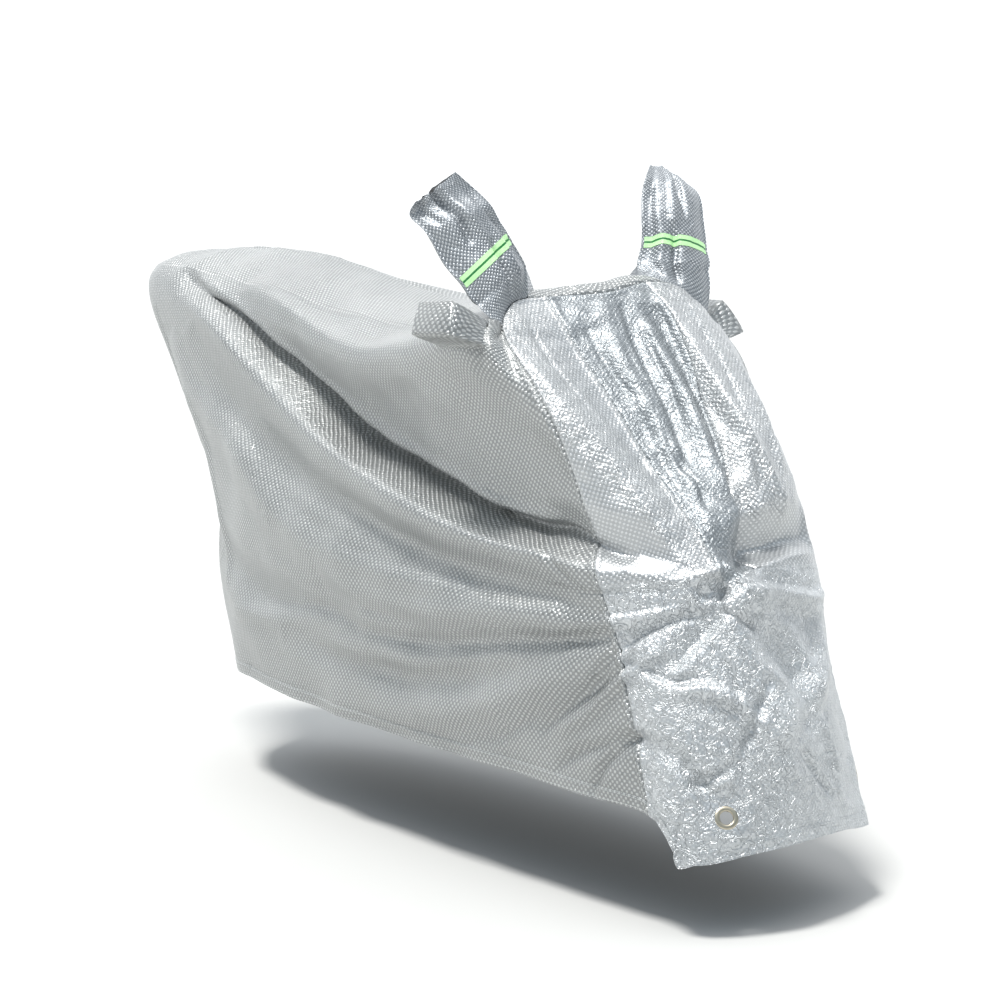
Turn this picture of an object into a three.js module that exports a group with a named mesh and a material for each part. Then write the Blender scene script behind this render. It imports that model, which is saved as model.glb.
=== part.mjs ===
// Fitted motorcycle cover, hanging as it does when it is on.
// Millimetres, +X to the front, +Y to the left, +Z up. The origin is on the underside of the
// top cloth, at the top of the cover's length, where it is carried.
import * as THREE from "three";
import { mergeVertices } from "three/addons/utils/BufferGeometryUtils.js";

// Driving dimensions
const CLOTH = 2;
const RIGHT = -1;
const LEFT = 1;
const CARRIED_AT = { x: 40, z: 1076 };

const EYELET = {
  holeRadius: 11.5,
  barrelRadius: 13,
  flangeRadius: 20.5,
  flangeThickness: 1.2,
  rounding: 1.5,
  clearance: 0.4,
  holeClearance: 1,
  flatRadius: 30,
  segments: 24,
};

const BAND = { height: 22, thickness: 1, standoff: 0.75 };

// What each panel's edge keeps from its seam, counted in stations and levels
const SEAM = { u: 0.003, v: 0.0012 };

// Levels of every station, from the hem to the centre line on top
const HEM = 0;
const WAIST = 2;
const EDGE = 4;
const RIDGE = 5;
const LEVEL_NAMES = ["hem", "low", "waist", "upper", "edge", "ridge"];

// Stations from the rear seam to the middle of the front.
// Each level holds [x, distance from the centre plane, height above the ground].
const STATIONS = [
  { name: "rear seam", hem: [-190, 0, 205], low: [-245, 0, 400], waist: [-270, 0, 580],
    upper: [-440, 0, 800], edge: [-604, 0, 1010], ridge: [-572, 0, 1060] },
  { name: "tail corner", hem: [-95, 145, 208], low: [-146, 157, 400], waist: [-163, 150, 580],
    upper: [-372, 128, 800], edge: [-545, 104, 1014], ridge: [-512, 0, 1072] },
  { name: "rear quarter", hem: [60, 218, 214], low: [20, 228, 400], waist: [-10, 222, 580],
    upper: [-180, 190, 790], edge: [-370, 160, 1012], ridge: [-370, 0, 1082] },
  { name: "mid rear", hem: [230, 252, 212], low: [205, 266, 400], waist: [190, 268, 590],
    upper: [80, 235, 780], edge: [-120, 185, 1008], ridge: [-180, 0, 1088] },
  { name: "middle", hem: [450, 268, 208], low: [435, 288, 400], waist: [425, 290, 600],
    upper: [350, 250, 780], edge: [170, 205, 985], ridge: [40, 0, 1078] },
  { name: "mid front", hem: [670, 274, 205], low: [660, 294, 400], waist: [660, 298, 600],
    upper: [610, 262, 780], edge: [440, 225, 955], ridge: [290, 0, 1042] },
  { name: "saddle", hem: [880, 276, 203], low: [880, 294, 400], waist: [880, 296, 600],
    upper: [830, 280, 780], edge: [690, 255, 940], ridge: [520, 0, 1012] },
  { name: "rear shoulder", hem: [1080, 274, 203], low: [1070, 290, 400], waist: [1050, 286, 590],
    upper: [970, 278, 800], edge: [900, 290, 966], ridge: [700, 0, 1015] },
  { name: "shoulder", hem: [1280, 268, 197], low: [1240, 278, 390], waist: [1195, 268, 575],
    upper: [1095, 268, 795], edge: [1036, 298, 978], ridge: [800, 0, 1012] },
  { name: "side seam", hem: [1455, 258, 192], low: [1382, 252, 400], waist: [1312, 250, 563],
    upper: [1203, 250, 792], edge: [1018, 250, 980], ridge: [855, 0, 1012] },
  { name: "front corner", hem: [1548, 254, 128], low: [1482, 226, 370], waist: [1396, 176, 572],
    upper: [1208, 172, 808], edge: [968, 186, 1028], ridge: [885, 0, 1016] },
  { name: "front seam", hem: [1600, 138, 141], low: [1545, 118, 370], waist: [1450, 98, 577],
    upper: [1200, 98, 808], edge: [962, 106, 1036], ridge: [918, 0, 1027] },
  { name: "nose", hem: [1598, 30, 146], low: [1553, 35, 370], waist: [1457, 45, 586],
    upper: [1243, 22, 814], edge: [994, 0, 1042], ridge: [950, 0, 1036] },
];
const SHOULDER = 8;
const SIDE_SEAM = 9;
const FRONT_SEAM = 11;
const NOSE = 12;

// The front hangs askew: the left side is closer in, and the nose lies right of the centre plane
const LEFT_CHANGES = {
  "middle": { edge: [170, 205, 979] },
  "mid front": { edge: [440, 225, 942] },
  "saddle": { edge: [690, 250, 926] },
  "rear shoulder": { edge: [830, 272, 958] },
  "shoulder": { upper: [1090, 252, 795], edge: [955, 276, 962] },
  "side seam": { hem: [1400, 222, 180], low: [1336, 236, 400], waist: [1288, 243, 563],
    upper: [1174, 240, 786], edge: [1008, 234, 982] },
  "front corner": { hem: [1512, 188, 131], low: [1412, 193, 370], waist: [1382, 166, 574],
    upper: [1258, 172, 800], edge: [985, 180, 1046] },
  "front seam": { hem: [1566, 75, 141], low: [1502, 86, 370], waist: [1424, 5, 588],
    upper: [1278, 50, 808], edge: [988, 98, 1057] },
  "nose": { hem: [1598, -30, 146], low: [1553, -35, 370], waist: [1457, -45, 586],
    upper: [1243, -22, 814] },
};

// Folds as lines in side view [x, z] on one side, or in front view [y, z] across the front.
// depth is outward, above and below are the widths to each side of the line, in millimetres.
const FOLDS = [
  { name: "main trough", side: RIGHT, depth: -88, above: 190, below: 62,
    line: [[-80, 1015], [65, 957], [190, 900], [368, 837], [547, 778], [661, 728], [827, 681],
      [984, 661], [1200, 634]] },
  { name: "seam hollow", side: RIGHT, depth: -20, above: 46, below: 40,
    line: [[1165, 672], [1250, 646], [1350, 628]] },
  { name: "main ridge", side: RIGHT, depth: 22, above: 60, below: 100,
    line: [[-90, 980], [40, 880], [230, 765], [480, 680], [760, 612], [1000, 580], [1250, 570]] },
  { name: "second ridge", side: RIGHT, depth: 20, above: 85, below: 95,
    line: [[-330, 870], [-170, 740], [-20, 610], [180, 510], [440, 450]] },
  { name: "rear hollow", side: RIGHT, depth: -20, above: 90, below: 90,
    line: [[-220, 870], [-40, 700], [120, 600], [360, 535]] },
  { name: "lower roll", side: RIGHT, depth: 13, above: 60, below: 65,
    line: [[100, 480], [420, 440], [800, 470], [1180, 525]] },
  { name: "lower hollow", side: RIGHT, depth: -17, above: 65, below: 65,
    line: [[130, 375], [450, 350], [800, 390], [1180, 475]] },
  { name: "hem roll", side: RIGHT, depth: 11, above: 65, below: 60,
    line: [[220, 285], [560, 270], [900, 300], [1200, 375]] },
  { name: "left trough", side: LEFT, depth: -70, above: 180, below: 75,
    line: [[-20, 990], [250, 890], [520, 790], [800, 700], [1140, 640]] },
  { name: "left ridge", side: LEFT, depth: 18, above: 80, below: 100,
    line: [[-80, 940], [200, 780], [520, 665], [860, 600], [1200, 570]] },
  { name: "left hollow", side: LEFT, depth: -17, above: 85, below: 90,
    line: [[-120, 710], [200, 560], [600, 430], [1080, 440]] },
];
const FRONT_FOLDS = [
  { name: "panel crease", depth: -10, above: 34, below: 34,
    line: [[12, 1040], [3, 960], [-14, 880], [-30, 800], [-52, 715]] },
  { name: "strip crease", depth: 8, above: 30, below: 40,
    line: [[-215, 950], [-185, 850], [-160, 740], [-125, 640]] },
  { name: "gather", depth: -24, above: 42, below: 36,
    line: [[-150, 552], [-112, 560], [-72, 570]] },
  { name: "blade", depth: -18, above: 34, below: 34,
    line: [[-82, 520], [-128, 492], [-188, 446]] },
  { name: "nose hollow", depth: -22, above: 52, below: 40,
    line: [[-40, 690], [30, 650], [90, 612], [140, 590]] },
  { name: "apron hollow", depth: -16, above: 44, below: 44,
    line: [[-62, 540], [-10, 480], [50, 405], [90, 320]] },
  { name: "apron ridge", depth: 14, above: 44, below: 44,
    line: [[0, 545], [60, 480], [115, 400], [150, 300]] },
  { name: "corner roll", depth: 12, above: 50, below: 50,
    line: [[-235, 430], [-205, 330], [-215, 230]] },
];
const FRONT_BLEND = { from: 8.3, width: 0.7 };

// Box-shaped bulges of the shoulders, between stations and levels, with their slopes outside.
// reach is how far they stand out, liftLow and liftHigh how far their two edges rise.
const BULGES = [
  { side: RIGHT, uFrom: 7.12, uTo: 7.92, vFrom: 3.9, vTo: 4.1, slopeU: 0.15, slopeV: 0.07,
    reach: 66, liftLow: 14, liftHigh: 44 },
  { side: LEFT, uFrom: 7.3, uTo: 8.04, vFrom: 3.88, vTo: 4.1, slopeU: 0.16, slopeV: 0.08,
    reach: 64, liftLow: 8, liftHigh: 42 },
];

// Mirror pockets: the two sewn edges and the fullness between them, from base to tip
const POCKETS = {
  right: {
    side: RIGHT,
    rows: [
      { name: "neck", outer: [971, 267, 1030], inner: [939, 145, 1089], fullness: 27 },
      { name: "band", outer: [949, 284, 1065], inner: [920, 165, 1138], fullness: 27 },
      { name: "body", outer: [919, 300, 1101], inner: [910, 180, 1167], fullness: 26 },
      { name: "head", outer: [890, 315, 1152], inner: [907, 200, 1197], fullness: 23 },
      { name: "brow", outer: [858, 330, 1184], inner: [881, 215, 1226], fullness: 16 },
      { name: "tip", outer: [868, 327, 1209], inner: [869, 250, 1257], fullness: 4 },
    ],
  },
  left: {
    side: LEFT,
    rows: [
      { name: "neck", outer: [957, 267, 1072], inner: [914, 145, 1083], fullness: 27 },
      { name: "band", outer: [933, 284, 1111], inner: [902, 165, 1126], fullness: 27 },
      { name: "body", outer: [904, 300, 1163], inner: [882, 180, 1178], fullness: 26 },
      { name: "head", outer: [874, 315, 1210], inner: [858, 200, 1220], fullness: 22 },
      { name: "brow", outer: [826, 325, 1234], inner: [848, 215, 1248], fullness: 15 },
      { name: "tip", outer: [803, 300, 1253], inner: [816, 250, 1268], fullness: 4 },
    ],
  },
};
const POCKET_STEPS = 9;
const BAND_ROW = 2;
const POCKET_SEWN = { ends: 0.03, edges: 0.012, lift: 1 };
const FLAT_EDGE = 1;

// The opening under each pocket and the strip round each eyelet, both along grid lines.
// The eyelet's place is (u, v). The left one sits further round, on the turned-back cloth.
const WINDOW = { uTo: 10.5, vTo: 4.4 };
const STRIP_TOP = 0.62;
const LOCK_STRIPS = {
  [RIGHT]: { uFrom: 10.25, uTo: FRONT_SEAM, u: 10.58, v: 0.285 },
  [LEFT]: { uFrom: 9.5, uTo: 10.25, u: 9.86, v: 0.3 },
};

// Grid lines as [from, to, steps], shared by the panels that meet at a seam
const LOWER_LINES = [[HEM, STRIP_TOP, 3], [STRIP_TOP, WAIST, 6]];
const UPPER_LINES = [[WAIST, 3.78, 9], [3.78, EDGE, 3]];
const TOP_LINES = [[EDGE, 4.1, 1], [4.1, WINDOW.vTo, 3], [WINDOW.vTo, RIDGE, 4]];
const STRIP_LINES = [[SIDE_SEAM, WINDOW.uTo, 6], [WINDOW.uTo, FRONT_SEAM, 2]];
const NOSE_LINES = [[FRONT_SEAM, NOSE, 4]];
const SIDE_LINES = {
  [RIGHT]: [[0, 1, 4], [1, 7, 25], [7, SHOULDER, 6], [SHOULDER, SIDE_SEAM, 5]],
  [LEFT]: [[0, 1, 3], [1, 7, 18], [7, SHOULDER, 6], [SHOULDER, SIDE_SEAM, 4]],
};

// A Catmull-Rom curve through four numbers
function through(a, b, c, d, t) {
  const linear = (c - a) * t;
  const square = (2 * a - 5 * b + 4 * c - d) * t * t;
  const cube = (3 * b - a - 3 * c + d) * t * t * t;
  return 0.5 * (2 * b + linear + square + cube);
}

function clamp01(t) {
  return Math.min(1, Math.max(0, t));
}

function smooth(t) {
  const c = clamp01(t);
  return c * c * (3 - 2 * c);
}

function mirrored(point) {
  return [point[0], -point[1], point[2]];
}

// A station's point at a level. Past the centre line on top it is the other side's.
function levelPoint(side, station, level) {
  if (level < 0) {
    const first = levelPoint(side, station, 0);
    const second = levelPoint(side, station, 1);
    return first.map((value, i) => 2 * value - second[i]);
  }
  if (level > RIDGE) {
    return mirrored(levelPoint(-side, station, 2 * RIDGE - level));
  }
  const row = STATIONS[station];
  const name = LEVEL_NAMES[level];
  const changes = side === LEFT ? LEFT_CHANGES[row.name] : undefined;
  return changes?.[name] ?? row[name];
}

function stationPoint(side, station, v) {
  if (station < 0) {
    return mirrored(stationPoint(-side, -station, v));
  }
  if (station > NOSE) {
    return mirrored(stationPoint(-side, 2 * NOSE - station, v));
  }
  const level = Math.min(RIDGE - 1, Math.max(0, Math.floor(v)));
  const near = [-1, 0, 1, 2].map((step) => levelPoint(side, station, level + step));
  return [0, 1, 2].map((i) => through(near[0][i], near[1][i], near[2][i], near[3][i], v - level));
}

// Continues a surface past the rear seam, the nose and the centre line on the other side
function acrossCentre(surface) {
  return (side, u, v) => {
    if (u < 0) {
      return surface(-side, -u, v);
    }
    if (u > NOSE) {
      return surface(-side, 2 * NOSE - u, v);
    }
    return v > RIDGE ? surface(-side, u, 2 * RIDGE - v) : surface(side, u, v);
  };
}

// The smooth form of the cover: u counts stations, v counts levels
function basePoint(side, u, v) {
  const station = Math.min(NOSE - 1, Math.floor(u));
  const near = [-1, 0, 1, 2].map((step) => stationPoint(side, station + step, v));
  const [x, w, z] = [0, 1, 2].map((i) => {
    return through(near[0][i], near[1][i], near[2][i], near[3][i], u - station);
  });
  return new THREE.Vector3(x, side * w, z);
}

// Outward normal of a surface given as a function of u and v
const NORMAL_STEP = 0.01;
function normalOf(surface, side, u, v) {
  const at = acrossCentre(surface);
  const along = at(side, u + NORMAL_STEP, v).sub(at(side, u - NORMAL_STEP, v));
  const up = at(side, u, v + NORMAL_STEP).sub(at(side, u, v - NORMAL_STEP));
  return along.cross(up).multiplyScalar(-side).normalize();
}

// Fold lines smoothed into short straight pieces
const LINE_STEPS = 6;
function smoothLine(points) {
  const last = points.length - 1;
  const at = (i) => points[Math.min(last, Math.max(0, i))];
  const out = [];
  for (let i = 0; i < last; i += 1) {
    for (let k = 0; k < LINE_STEPS; k += 1) {
      const t = k / LINE_STEPS;
      out.push([0, 1].map((c) => through(at(i - 1)[c], at(i)[c], at(i + 1)[c], at(i + 2)[c], t)));
    }
  }
  out.push(points[last]);
  return out;
}
const SIDE_FOLDS = FOLDS.map((fold) => ({ ...fold, path: smoothLine(fold.line) }));
const NOSE_FOLDS = FRONT_FOLDS.map((fold) => ({ ...fold, path: smoothLine(fold.line) }));

// How far a fold moves a point outward. It fades towards both ends of its line.
const END_FADE = 0.6;
function foldOffset(fold, a, b) {
  let best = Infinity;
  let signed = 0;
  let share = 0;
  const count = fold.path.length - 1;
  for (let i = 0; i < count; i += 1) {
    const [ax, ay] = fold.path[i];
    const [bx, by] = fold.path[i + 1];
    const dx = bx - ax;
    const dy = by - ay;
    const t = clamp01(((a - ax) * dx + (b - ay) * dy) / (dx * dx + dy * dy));
    const ex = a - ax - t * dx;
    const ey = b - ay - t * dy;
    const distance = Math.hypot(ex, ey);
    if (distance < best) {
      best = distance;
      signed = dx * ey - dy * ex;
      share = (i + t) / count;
    }
  }
  const reach = best / (signed > 0 ? fold.above : fold.below);
  if (reach >= 1) {
    return 0;
  }
  const across = (1 - reach * reach) ** 2;
  return fold.depth * across * Math.sin(Math.PI * clamp01(share)) ** END_FADE;
}

// How much of a bulge is present, 1 on its flat box and 0 beyond its slopes
function boxShare(value, from, to, slope) {
  return smooth(1 - Math.max(from - value, value - to, 0) / slope);
}

function addBulges(side, u, v, point) {
  for (const bulge of BULGES) {
    if (bulge.side === side) {
      const share = boxShare(u, bulge.uFrom, bulge.uTo, bulge.slopeU)
        * boxShare(v, bulge.vFrom, bulge.vTo, bulge.slopeV);
      const height = clamp01((v - bulge.vFrom) / (bulge.vTo - bulge.vFrom));
      point.y += side * bulge.reach * share;
      point.z += (bulge.liftLow + (bulge.liftHigh - bulge.liftLow) * height) * share;
    }
  }
}

// The cloth's outer face, with its folds and bulges
const CENTRE_FADE = 70;
function clothPoint(side, u, v) {
  const point = basePoint(side, u, v);
  const normal = normalOf(basePoint, side, u, v);
  let onSide = 0;
  for (const fold of SIDE_FOLDS) {
    if (fold.side === side) {
      onSide += foldOffset(fold, point.x, point.z);
    }
  }
  let onFront = 0;
  const frontShare = smooth((u - FRONT_BLEND.from) / FRONT_BLEND.width);
  if (frontShare > 0) {
    for (const fold of NOSE_FOLDS) {
      onFront += foldOffset(fold, point.y, point.z);
    }
  }
  const offset = onSide * smooth(Math.abs(point.y) / CENTRE_FADE) + onFront * frontShare;
  point.addScaledVector(normal, offset);
  addBulges(side, u, v, point);
  return point;
}

// A thick cloth body from outer cells, with an inner skin and a rim along every open edge
const POINTS_PER_MM = 50;
class Shell {
  constructor(thickness) {
    this.thickness = thickness;
    this.index = new Map();
    this.points = [];
    this.normals = [];
    this.cells = [];
  }

  vertex(point, normal) {
    const key = [point.x, point.y, point.z].map((value) => Math.round(value * POINTS_PER_MM)).join();
    if (!this.index.has(key)) {
      this.index.set(key, this.points.length);
      this.points.push(point.clone());
      this.normals.push(normal.clone());
    } else {
      this.normals[this.index.get(key)].add(normal);
    }
    return this.index.get(key);
  }

  // How far the middle of a diagonal lies from the cloth
  miss(from, to, middle) {
    return this.points[from].clone().lerp(this.points[to], 0.5).distanceTo(middle);
  }

  // Corners run anticlockwise seen from outside. A cell bends along its first diagonal, so its
  // corners are turned where the other one lies nearer to the cloth.
  cell(corners, middle) {
    const [a, b, c, d] = corners;
    const turn = middle !== undefined && this.miss(b, d, middle) < this.miss(a, c, middle);
    this.cells.push(turn ? [b, c, d, a] : corners);
  }

  geometry() {
    const count = this.points.length;
    const inner = this.points.map((point, i) => {
      return point.clone().addScaledVector(this.normals[i].clone().normalize(), -this.thickness);
    });
    const positions = [...this.points, ...inner].flatMap((point) => [point.x, point.y, point.z]);
    const faces = [];
    const edges = new Map();
    for (const [a, b, c, d] of this.cells) {
      faces.push(a, b, c, a, c, d);
      faces.push(a + count, c + count, b + count, a + count, d + count, c + count);
      for (const [from, to] of [[a, b], [b, c], [c, d], [d, a]]) {
        edges.set(`${from},${to}`, [from, to]);
      }
    }
    for (const [from, to] of edges.values()) {
      if (!edges.has(`${to},${from}`)) {
        faces.push(from, from + count, to + count, from, to + count, to);
      }
    }
    return meshGeometry(positions, faces);
  }
}

function meshGeometry(positions, faces) {
  const geometry = new THREE.BufferGeometry();
  geometry.setAttribute("position", new THREE.Float32BufferAttribute(positions, 3));
  geometry.setIndex(faces);
  geometry.computeVertexNormals();
  return geometry;
}

// Grid lines of a panel, with its first and last line kept a little short of their seams
function gridLines(spans, startGap, endGap) {
  const out = [spans[0][0]];
  for (const [from, to, steps] of spans) {
    for (let i = 1; i <= steps; i += 1) {
      out.push(from + ((to - from) * i) / steps);
    }
  }
  out[0] += startGap;
  out[out.length - 1] -= endGap;
  return out;
}

// Adds the cells of a grid on one side of the cover to a shell
function addGrid(shell, side, us, vs, keep = () => true) {
  const made = us.map(() => vs.map(() => -1));
  const id = (i, j) => {
    if (made[i][j] < 0) {
      const [u, v] = [us[i], vs[j]];
      made[i][j] = shell.vertex(clothPoint(side, u, v), normalOf(clothPoint, side, u, v));
    }
    return made[i][j];
  };
  for (let i = 0; i < us.length - 1; i += 1) {
    for (let j = 0; j < vs.length - 1; j += 1) {
      const u = (us[i] + us[i + 1]) / 2;
      const v = (vs[j] + vs[j + 1]) / 2;
      if (keep(u, v)) {
        const corners = [id(i, j), id(i + 1, j), id(i + 1, j + 1), id(i, j + 1)];
        shell.cell(side === RIGHT ? corners : corners.reverse(), clothPoint(side, u, v));
      }
    }
  }
}

function sidePanel(side) {
  const shell = new Shell(CLOTH);
  const us = gridLines(SIDE_LINES[side], SEAM.u, SEAM.u);
  addGrid(shell, side, us, gridLines([...LOWER_LINES, ...UPPER_LINES, ...TOP_LINES], 0, SEAM.v));
  return shell.geometry();
}

function frontStrip(side) {
  const shell = new Shell(CLOTH);
  const us = gridLines(STRIP_LINES, SEAM.u, SEAM.u);
  addGrid(shell, side, us, gridLines(UPPER_LINES, SEAM.v, SEAM.v));
  return shell.geometry();
}

function frontPanel() {
  const shell = new Shell(CLOTH);
  for (const side of [RIGHT, LEFT]) {
    addGrid(shell, side, gridLines(NOSE_LINES, SEAM.u, 0), gridLines(UPPER_LINES, SEAM.v, SEAM.v));
  }
  return shell.geometry();
}

function yoke() {
  const shell = new Shell(CLOTH);
  const outsideWindow = (u, v) => u > WINDOW.uTo || v > WINDOW.vTo;
  for (const side of [RIGHT, LEFT]) {
    const us = gridLines([...STRIP_LINES, ...NOSE_LINES], SEAM.u, 0);
    addGrid(shell, side, us, gridLines(TOP_LINES, SEAM.v, 0), outsideWindow);
  }
  return shell.geometry();
}

function apron() {
  const shell = new Shell(CLOTH);
  for (const side of [RIGHT, LEFT]) {
    const strip = LOCK_STRIPS[side];
    const outsideStrip = (u, v) => u < strip.uFrom || u > strip.uTo || v > STRIP_TOP;
    const us = gridLines([...STRIP_LINES, ...NOSE_LINES], SEAM.u, 0);
    addGrid(shell, side, us, gridLines(LOWER_LINES, 0, SEAM.v), outsideStrip);
  }
  return shell.geometry();
}

// The eyelet's own axes: its centre, the outward direction and two directions in the cloth
function eyeletFrame(side) {
  const { u, v } = LOCK_STRIPS[side];
  const centre = clothPoint(side, u, v);
  const out = normalOf(clothPoint, side, u, v);
  const across = new THREE.Vector3(0, 0, 1).cross(out).normalize();
  return { centre, out, across };
}

// The strip's outline in stations and levels, on the apron's own grid lines
function stripOutline({ uFrom, uTo }) {
  const us = gridLines(STRIP_LINES, 0, 0).filter((u) => u >= uFrom && u <= uTo);
  const vs = gridLines(LOWER_LINES, 0, 0).filter((v) => v <= STRIP_TOP);
  const [u0, u1] = [us[0] + SEAM.u, us[us.length - 1] - SEAM.u];
  const v1 = vs[vs.length - 1] - SEAM.u;
  us[0] = u0;
  us[us.length - 1] = u1;
  vs[vs.length - 1] = v1;
  return [
    ...us.slice(1).reverse().map((u) => [u, v1]),
    ...vs.slice(1).reverse().map((v) => [u0, v]),
    ...us.slice(0, -1).map((u) => [u, HEM]),
    ...vs.slice(0, -1).map((v) => [u1, v]),
  ];
}

// Rings from the hole out to the strip's outline, flat around the eyelet
const BLEND_SHARES = [0.34, 0.67, 1];
const BLEND_START = 0.3;
const OUTLINE_STEPS = 3;
function lockStrip(side) {
  const shell = new Shell(CLOTH);
  const frame = eyeletFrame(side);
  const strip = LOCK_STRIPS[side];
  const corners = stripOutline(strip);
  const outline = corners.flatMap(([u, v], k) => {
    const [nextU, nextV] = corners[(k + 1) % corners.length];
    return Array.from({ length: OUTLINE_STEPS }, (unused, i) => {
      const t = i / OUTLINE_STEPS;
      return { u: u + (nextU - u) * t, v: v + (nextV - v) * t, from: [u, v], to: [nextU, nextV], t };
    });
  });
  const flatPoint = (point, radius) => {
    const away = point.clone().sub(frame.centre);
    away.addScaledVector(frame.out, -away.dot(frame.out));
    return frame.centre.clone().addScaledVector(away.normalize(), radius);
  };
  const radii = [EYELET.barrelRadius + EYELET.holeClearance, EYELET.flangeRadius, EYELET.flatRadius];
  const columns = outline.map(({ u, v, from, to, t }) => {
    const edge = clothPoint(side, ...from).lerp(clothPoint(side, ...to), t);
    const ring = radii.map((radius) => ({ point: flatPoint(edge, radius), normal: frame.out }));
    const start = ring[ring.length - 1].point;
    for (const share of BLEND_SHARES) {
      const spread = BLEND_START + (1 - BLEND_START) * share;
      const uu = strip.u + (u - strip.u) * spread;
      const vv = strip.v + (v - strip.v) * spread;
      const onCloth = share === 1 ? edge : clothPoint(side, uu, vv);
      const point = start.clone().lerp(edge, share).lerp(onCloth, share * share);
      ring.push({ point, normal: normalOf(clothPoint, side, uu, vv) });
    }
    return ring;
  });
  const ids = columns.map((ring) => ring.map(({ point, normal }) => shell.vertex(point, normal)));
  for (let k = 0; k < ids.length; k += 1) {
    const next = (k + 1) % ids.length;
    for (let r = 0; r < ids[k].length - 1; r += 1) {
      const corner = [ids[k][r], ids[k][r + 1], ids[next][r + 1], ids[next][r]];
      shell.cell(side === RIGHT ? corner : corner.reverse());
    }
  }
  return shell.geometry();
}

// A two-flanged ring turned round the hole, with the cloth in its groove
function eyelet(side) {
  const groove = CLOTH / 2 + EYELET.clearance;
  const outer = groove + EYELET.flangeThickness;
  const { holeRadius, barrelRadius, flangeRadius, rounding } = EYELET;
  const half = [
    [holeRadius, outer - rounding], [holeRadius + rounding, outer], [flangeRadius - rounding, outer],
    [flangeRadius, groove], [barrelRadius, groove],
  ];
  const profile = [...half.map(([r, h]) => [r, -h]), ...half.reverse(), [holeRadius, rounding - outer]];
  const points = profile.map(([r, h]) => new THREE.Vector2(r, h));
  const geometry = new THREE.LatheGeometry(points, EYELET.segments);
  const { centre, out, across } = eyeletFrame(side);
  geometry.applyMatrix4(new THREE.Matrix4().makeBasis(across, out, across.clone().cross(out)));
  const middle = centre.clone().addScaledVector(out, -CLOTH / 2);
  geometry.translate(middle.x, middle.y, middle.z);
  geometry.deleteAttribute("normal");
  geometry.deleteAttribute("uv");
  return mergeVertices(geometry, 0.001);
}

// Shares from one sewn edge of a pocket to the other and back, along its front and back walls
const POCKET_ROUND = [1, -1].flatMap((wall) => {
  return Array.from({ length: POCKET_STEPS }, (unused, i) => {
    const step = wall > 0 ? i : POCKET_STEPS - 1 - i;
    return { wall, t: (step + 0.5) / POCKET_STEPS };
  });
});

// One closed ring of a pocket, drawn in by an inset for its inner wall
function pocketRing(pocket, row, inset) {
  const [outer, inner] = [row.outer, row.inner].map(([x, w, z]) => {
    return new THREE.Vector3(x, pocket.side * w, z);
  });
  const across = inner.clone().sub(outer);
  const front = row.axis.clone().cross(across).multiplyScalar(pocket.side).normalize();
  const shrink = inset / across.length();
  return POCKET_ROUND.map(({ wall, t }) => {
    const along = shrink + (1 - 2 * shrink) * t;
    const swell = Math.max(FLAT_EDGE / 2, row.fullness - inset) * 4 * t * (1 - t);
    return outer.clone().lerp(inner, along).addScaledVector(front, wall * (swell + FLAT_EDGE));
  });
}

// The ring where a pocket is sewn to the cover, around the window in the yoke
function pocketBase(pocket, inset) {
  const ring = POCKET_ROUND.map(({ wall, t }) => {
    const along = POCKET_SEWN.ends + (1 - 2 * POCKET_SEWN.ends) * t;
    const u = SIDE_SEAM + (WINDOW.uTo - SIDE_SEAM) * along;
    const v = wall > 0 ? EDGE + POCKET_SEWN.edges : WINDOW.vTo - POCKET_SEWN.edges;
    return clothPoint(pocket.side, u, v);
  });
  const sum = ring.reduce((total, point) => total.add(point), new THREE.Vector3());
  const middle = sum.divideScalar(ring.length);
  return ring.map((point) => {
    const inward = middle.clone().sub(point).normalize();
    return point.clone().addScaledVector(inward, inset).add(new THREE.Vector3(0, 0, POCKET_SEWN.lift));
  });
}

function pocketRings(pocket, inset) {
  const middle = (row) => {
    return new THREE.Vector3(row.outer[0] + row.inner[0], pocket.side * (row.outer[1] + row.inner[1]),
      row.outer[2] + row.inner[2]);
  };
  const last = pocket.rows.length - 1;
  const rings = pocket.rows.map((row, i) => {
    const before = middle(pocket.rows[Math.max(0, i - 1)]);
    const axis = middle(pocket.rows[Math.min(last, i + 1)]).sub(before).normalize();
    return pocketRing(pocket, { ...row, axis }, inset);
  });
  return [pocketBase(pocket, inset), ...rings];
}

// A closed sleeve: an outer wall, an inner wall that stops one row short, and the sewn rim
function mirrorPocket(pocket) {
  const outside = pocketRings(pocket, 0);
  const inside = pocketRings(pocket, CLOTH).slice(0, -1);
  const count = POCKET_ROUND.length;
  const positions = [...outside, ...inside].flat().flatMap((point) => [point.x, point.y, point.z]);
  const turned = pocket.side === LEFT;
  const faces = [];
  const at = (row, k) => row * count + (k % count);
  const add = (a, b, c, d, flip) => {
    faces.push(...(flip ? [a, c, b, a, d, c] : [a, b, c, a, c, d]));
  };
  const wall = (first, last, flip) => {
    for (let row = first; row < last; row += 1) {
      for (let k = 0; k < count; k += 1) {
        add(at(row, k), at(row, k + 1), at(row + 1, k + 1), at(row + 1, k), flip);
      }
    }
    for (let k = 0; k < POCKET_STEPS - 1; k += 1) {
      add(at(last, k), at(last, k + 1), at(last, count - 2 - k), at(last, count - 1 - k), flip);
    }
  };
  const firstInside = outside.length;
  wall(0, outside.length - 1, turned);
  wall(firstInside, firstInside + inside.length - 1, !turned);
  for (let k = 0; k < count; k += 1) {
    add(at(0, k), at(0, k + 1), at(firstInside, k + 1), at(firstInside, k), !turned);
  }
  return meshGeometry(positions, faces);
}

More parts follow.
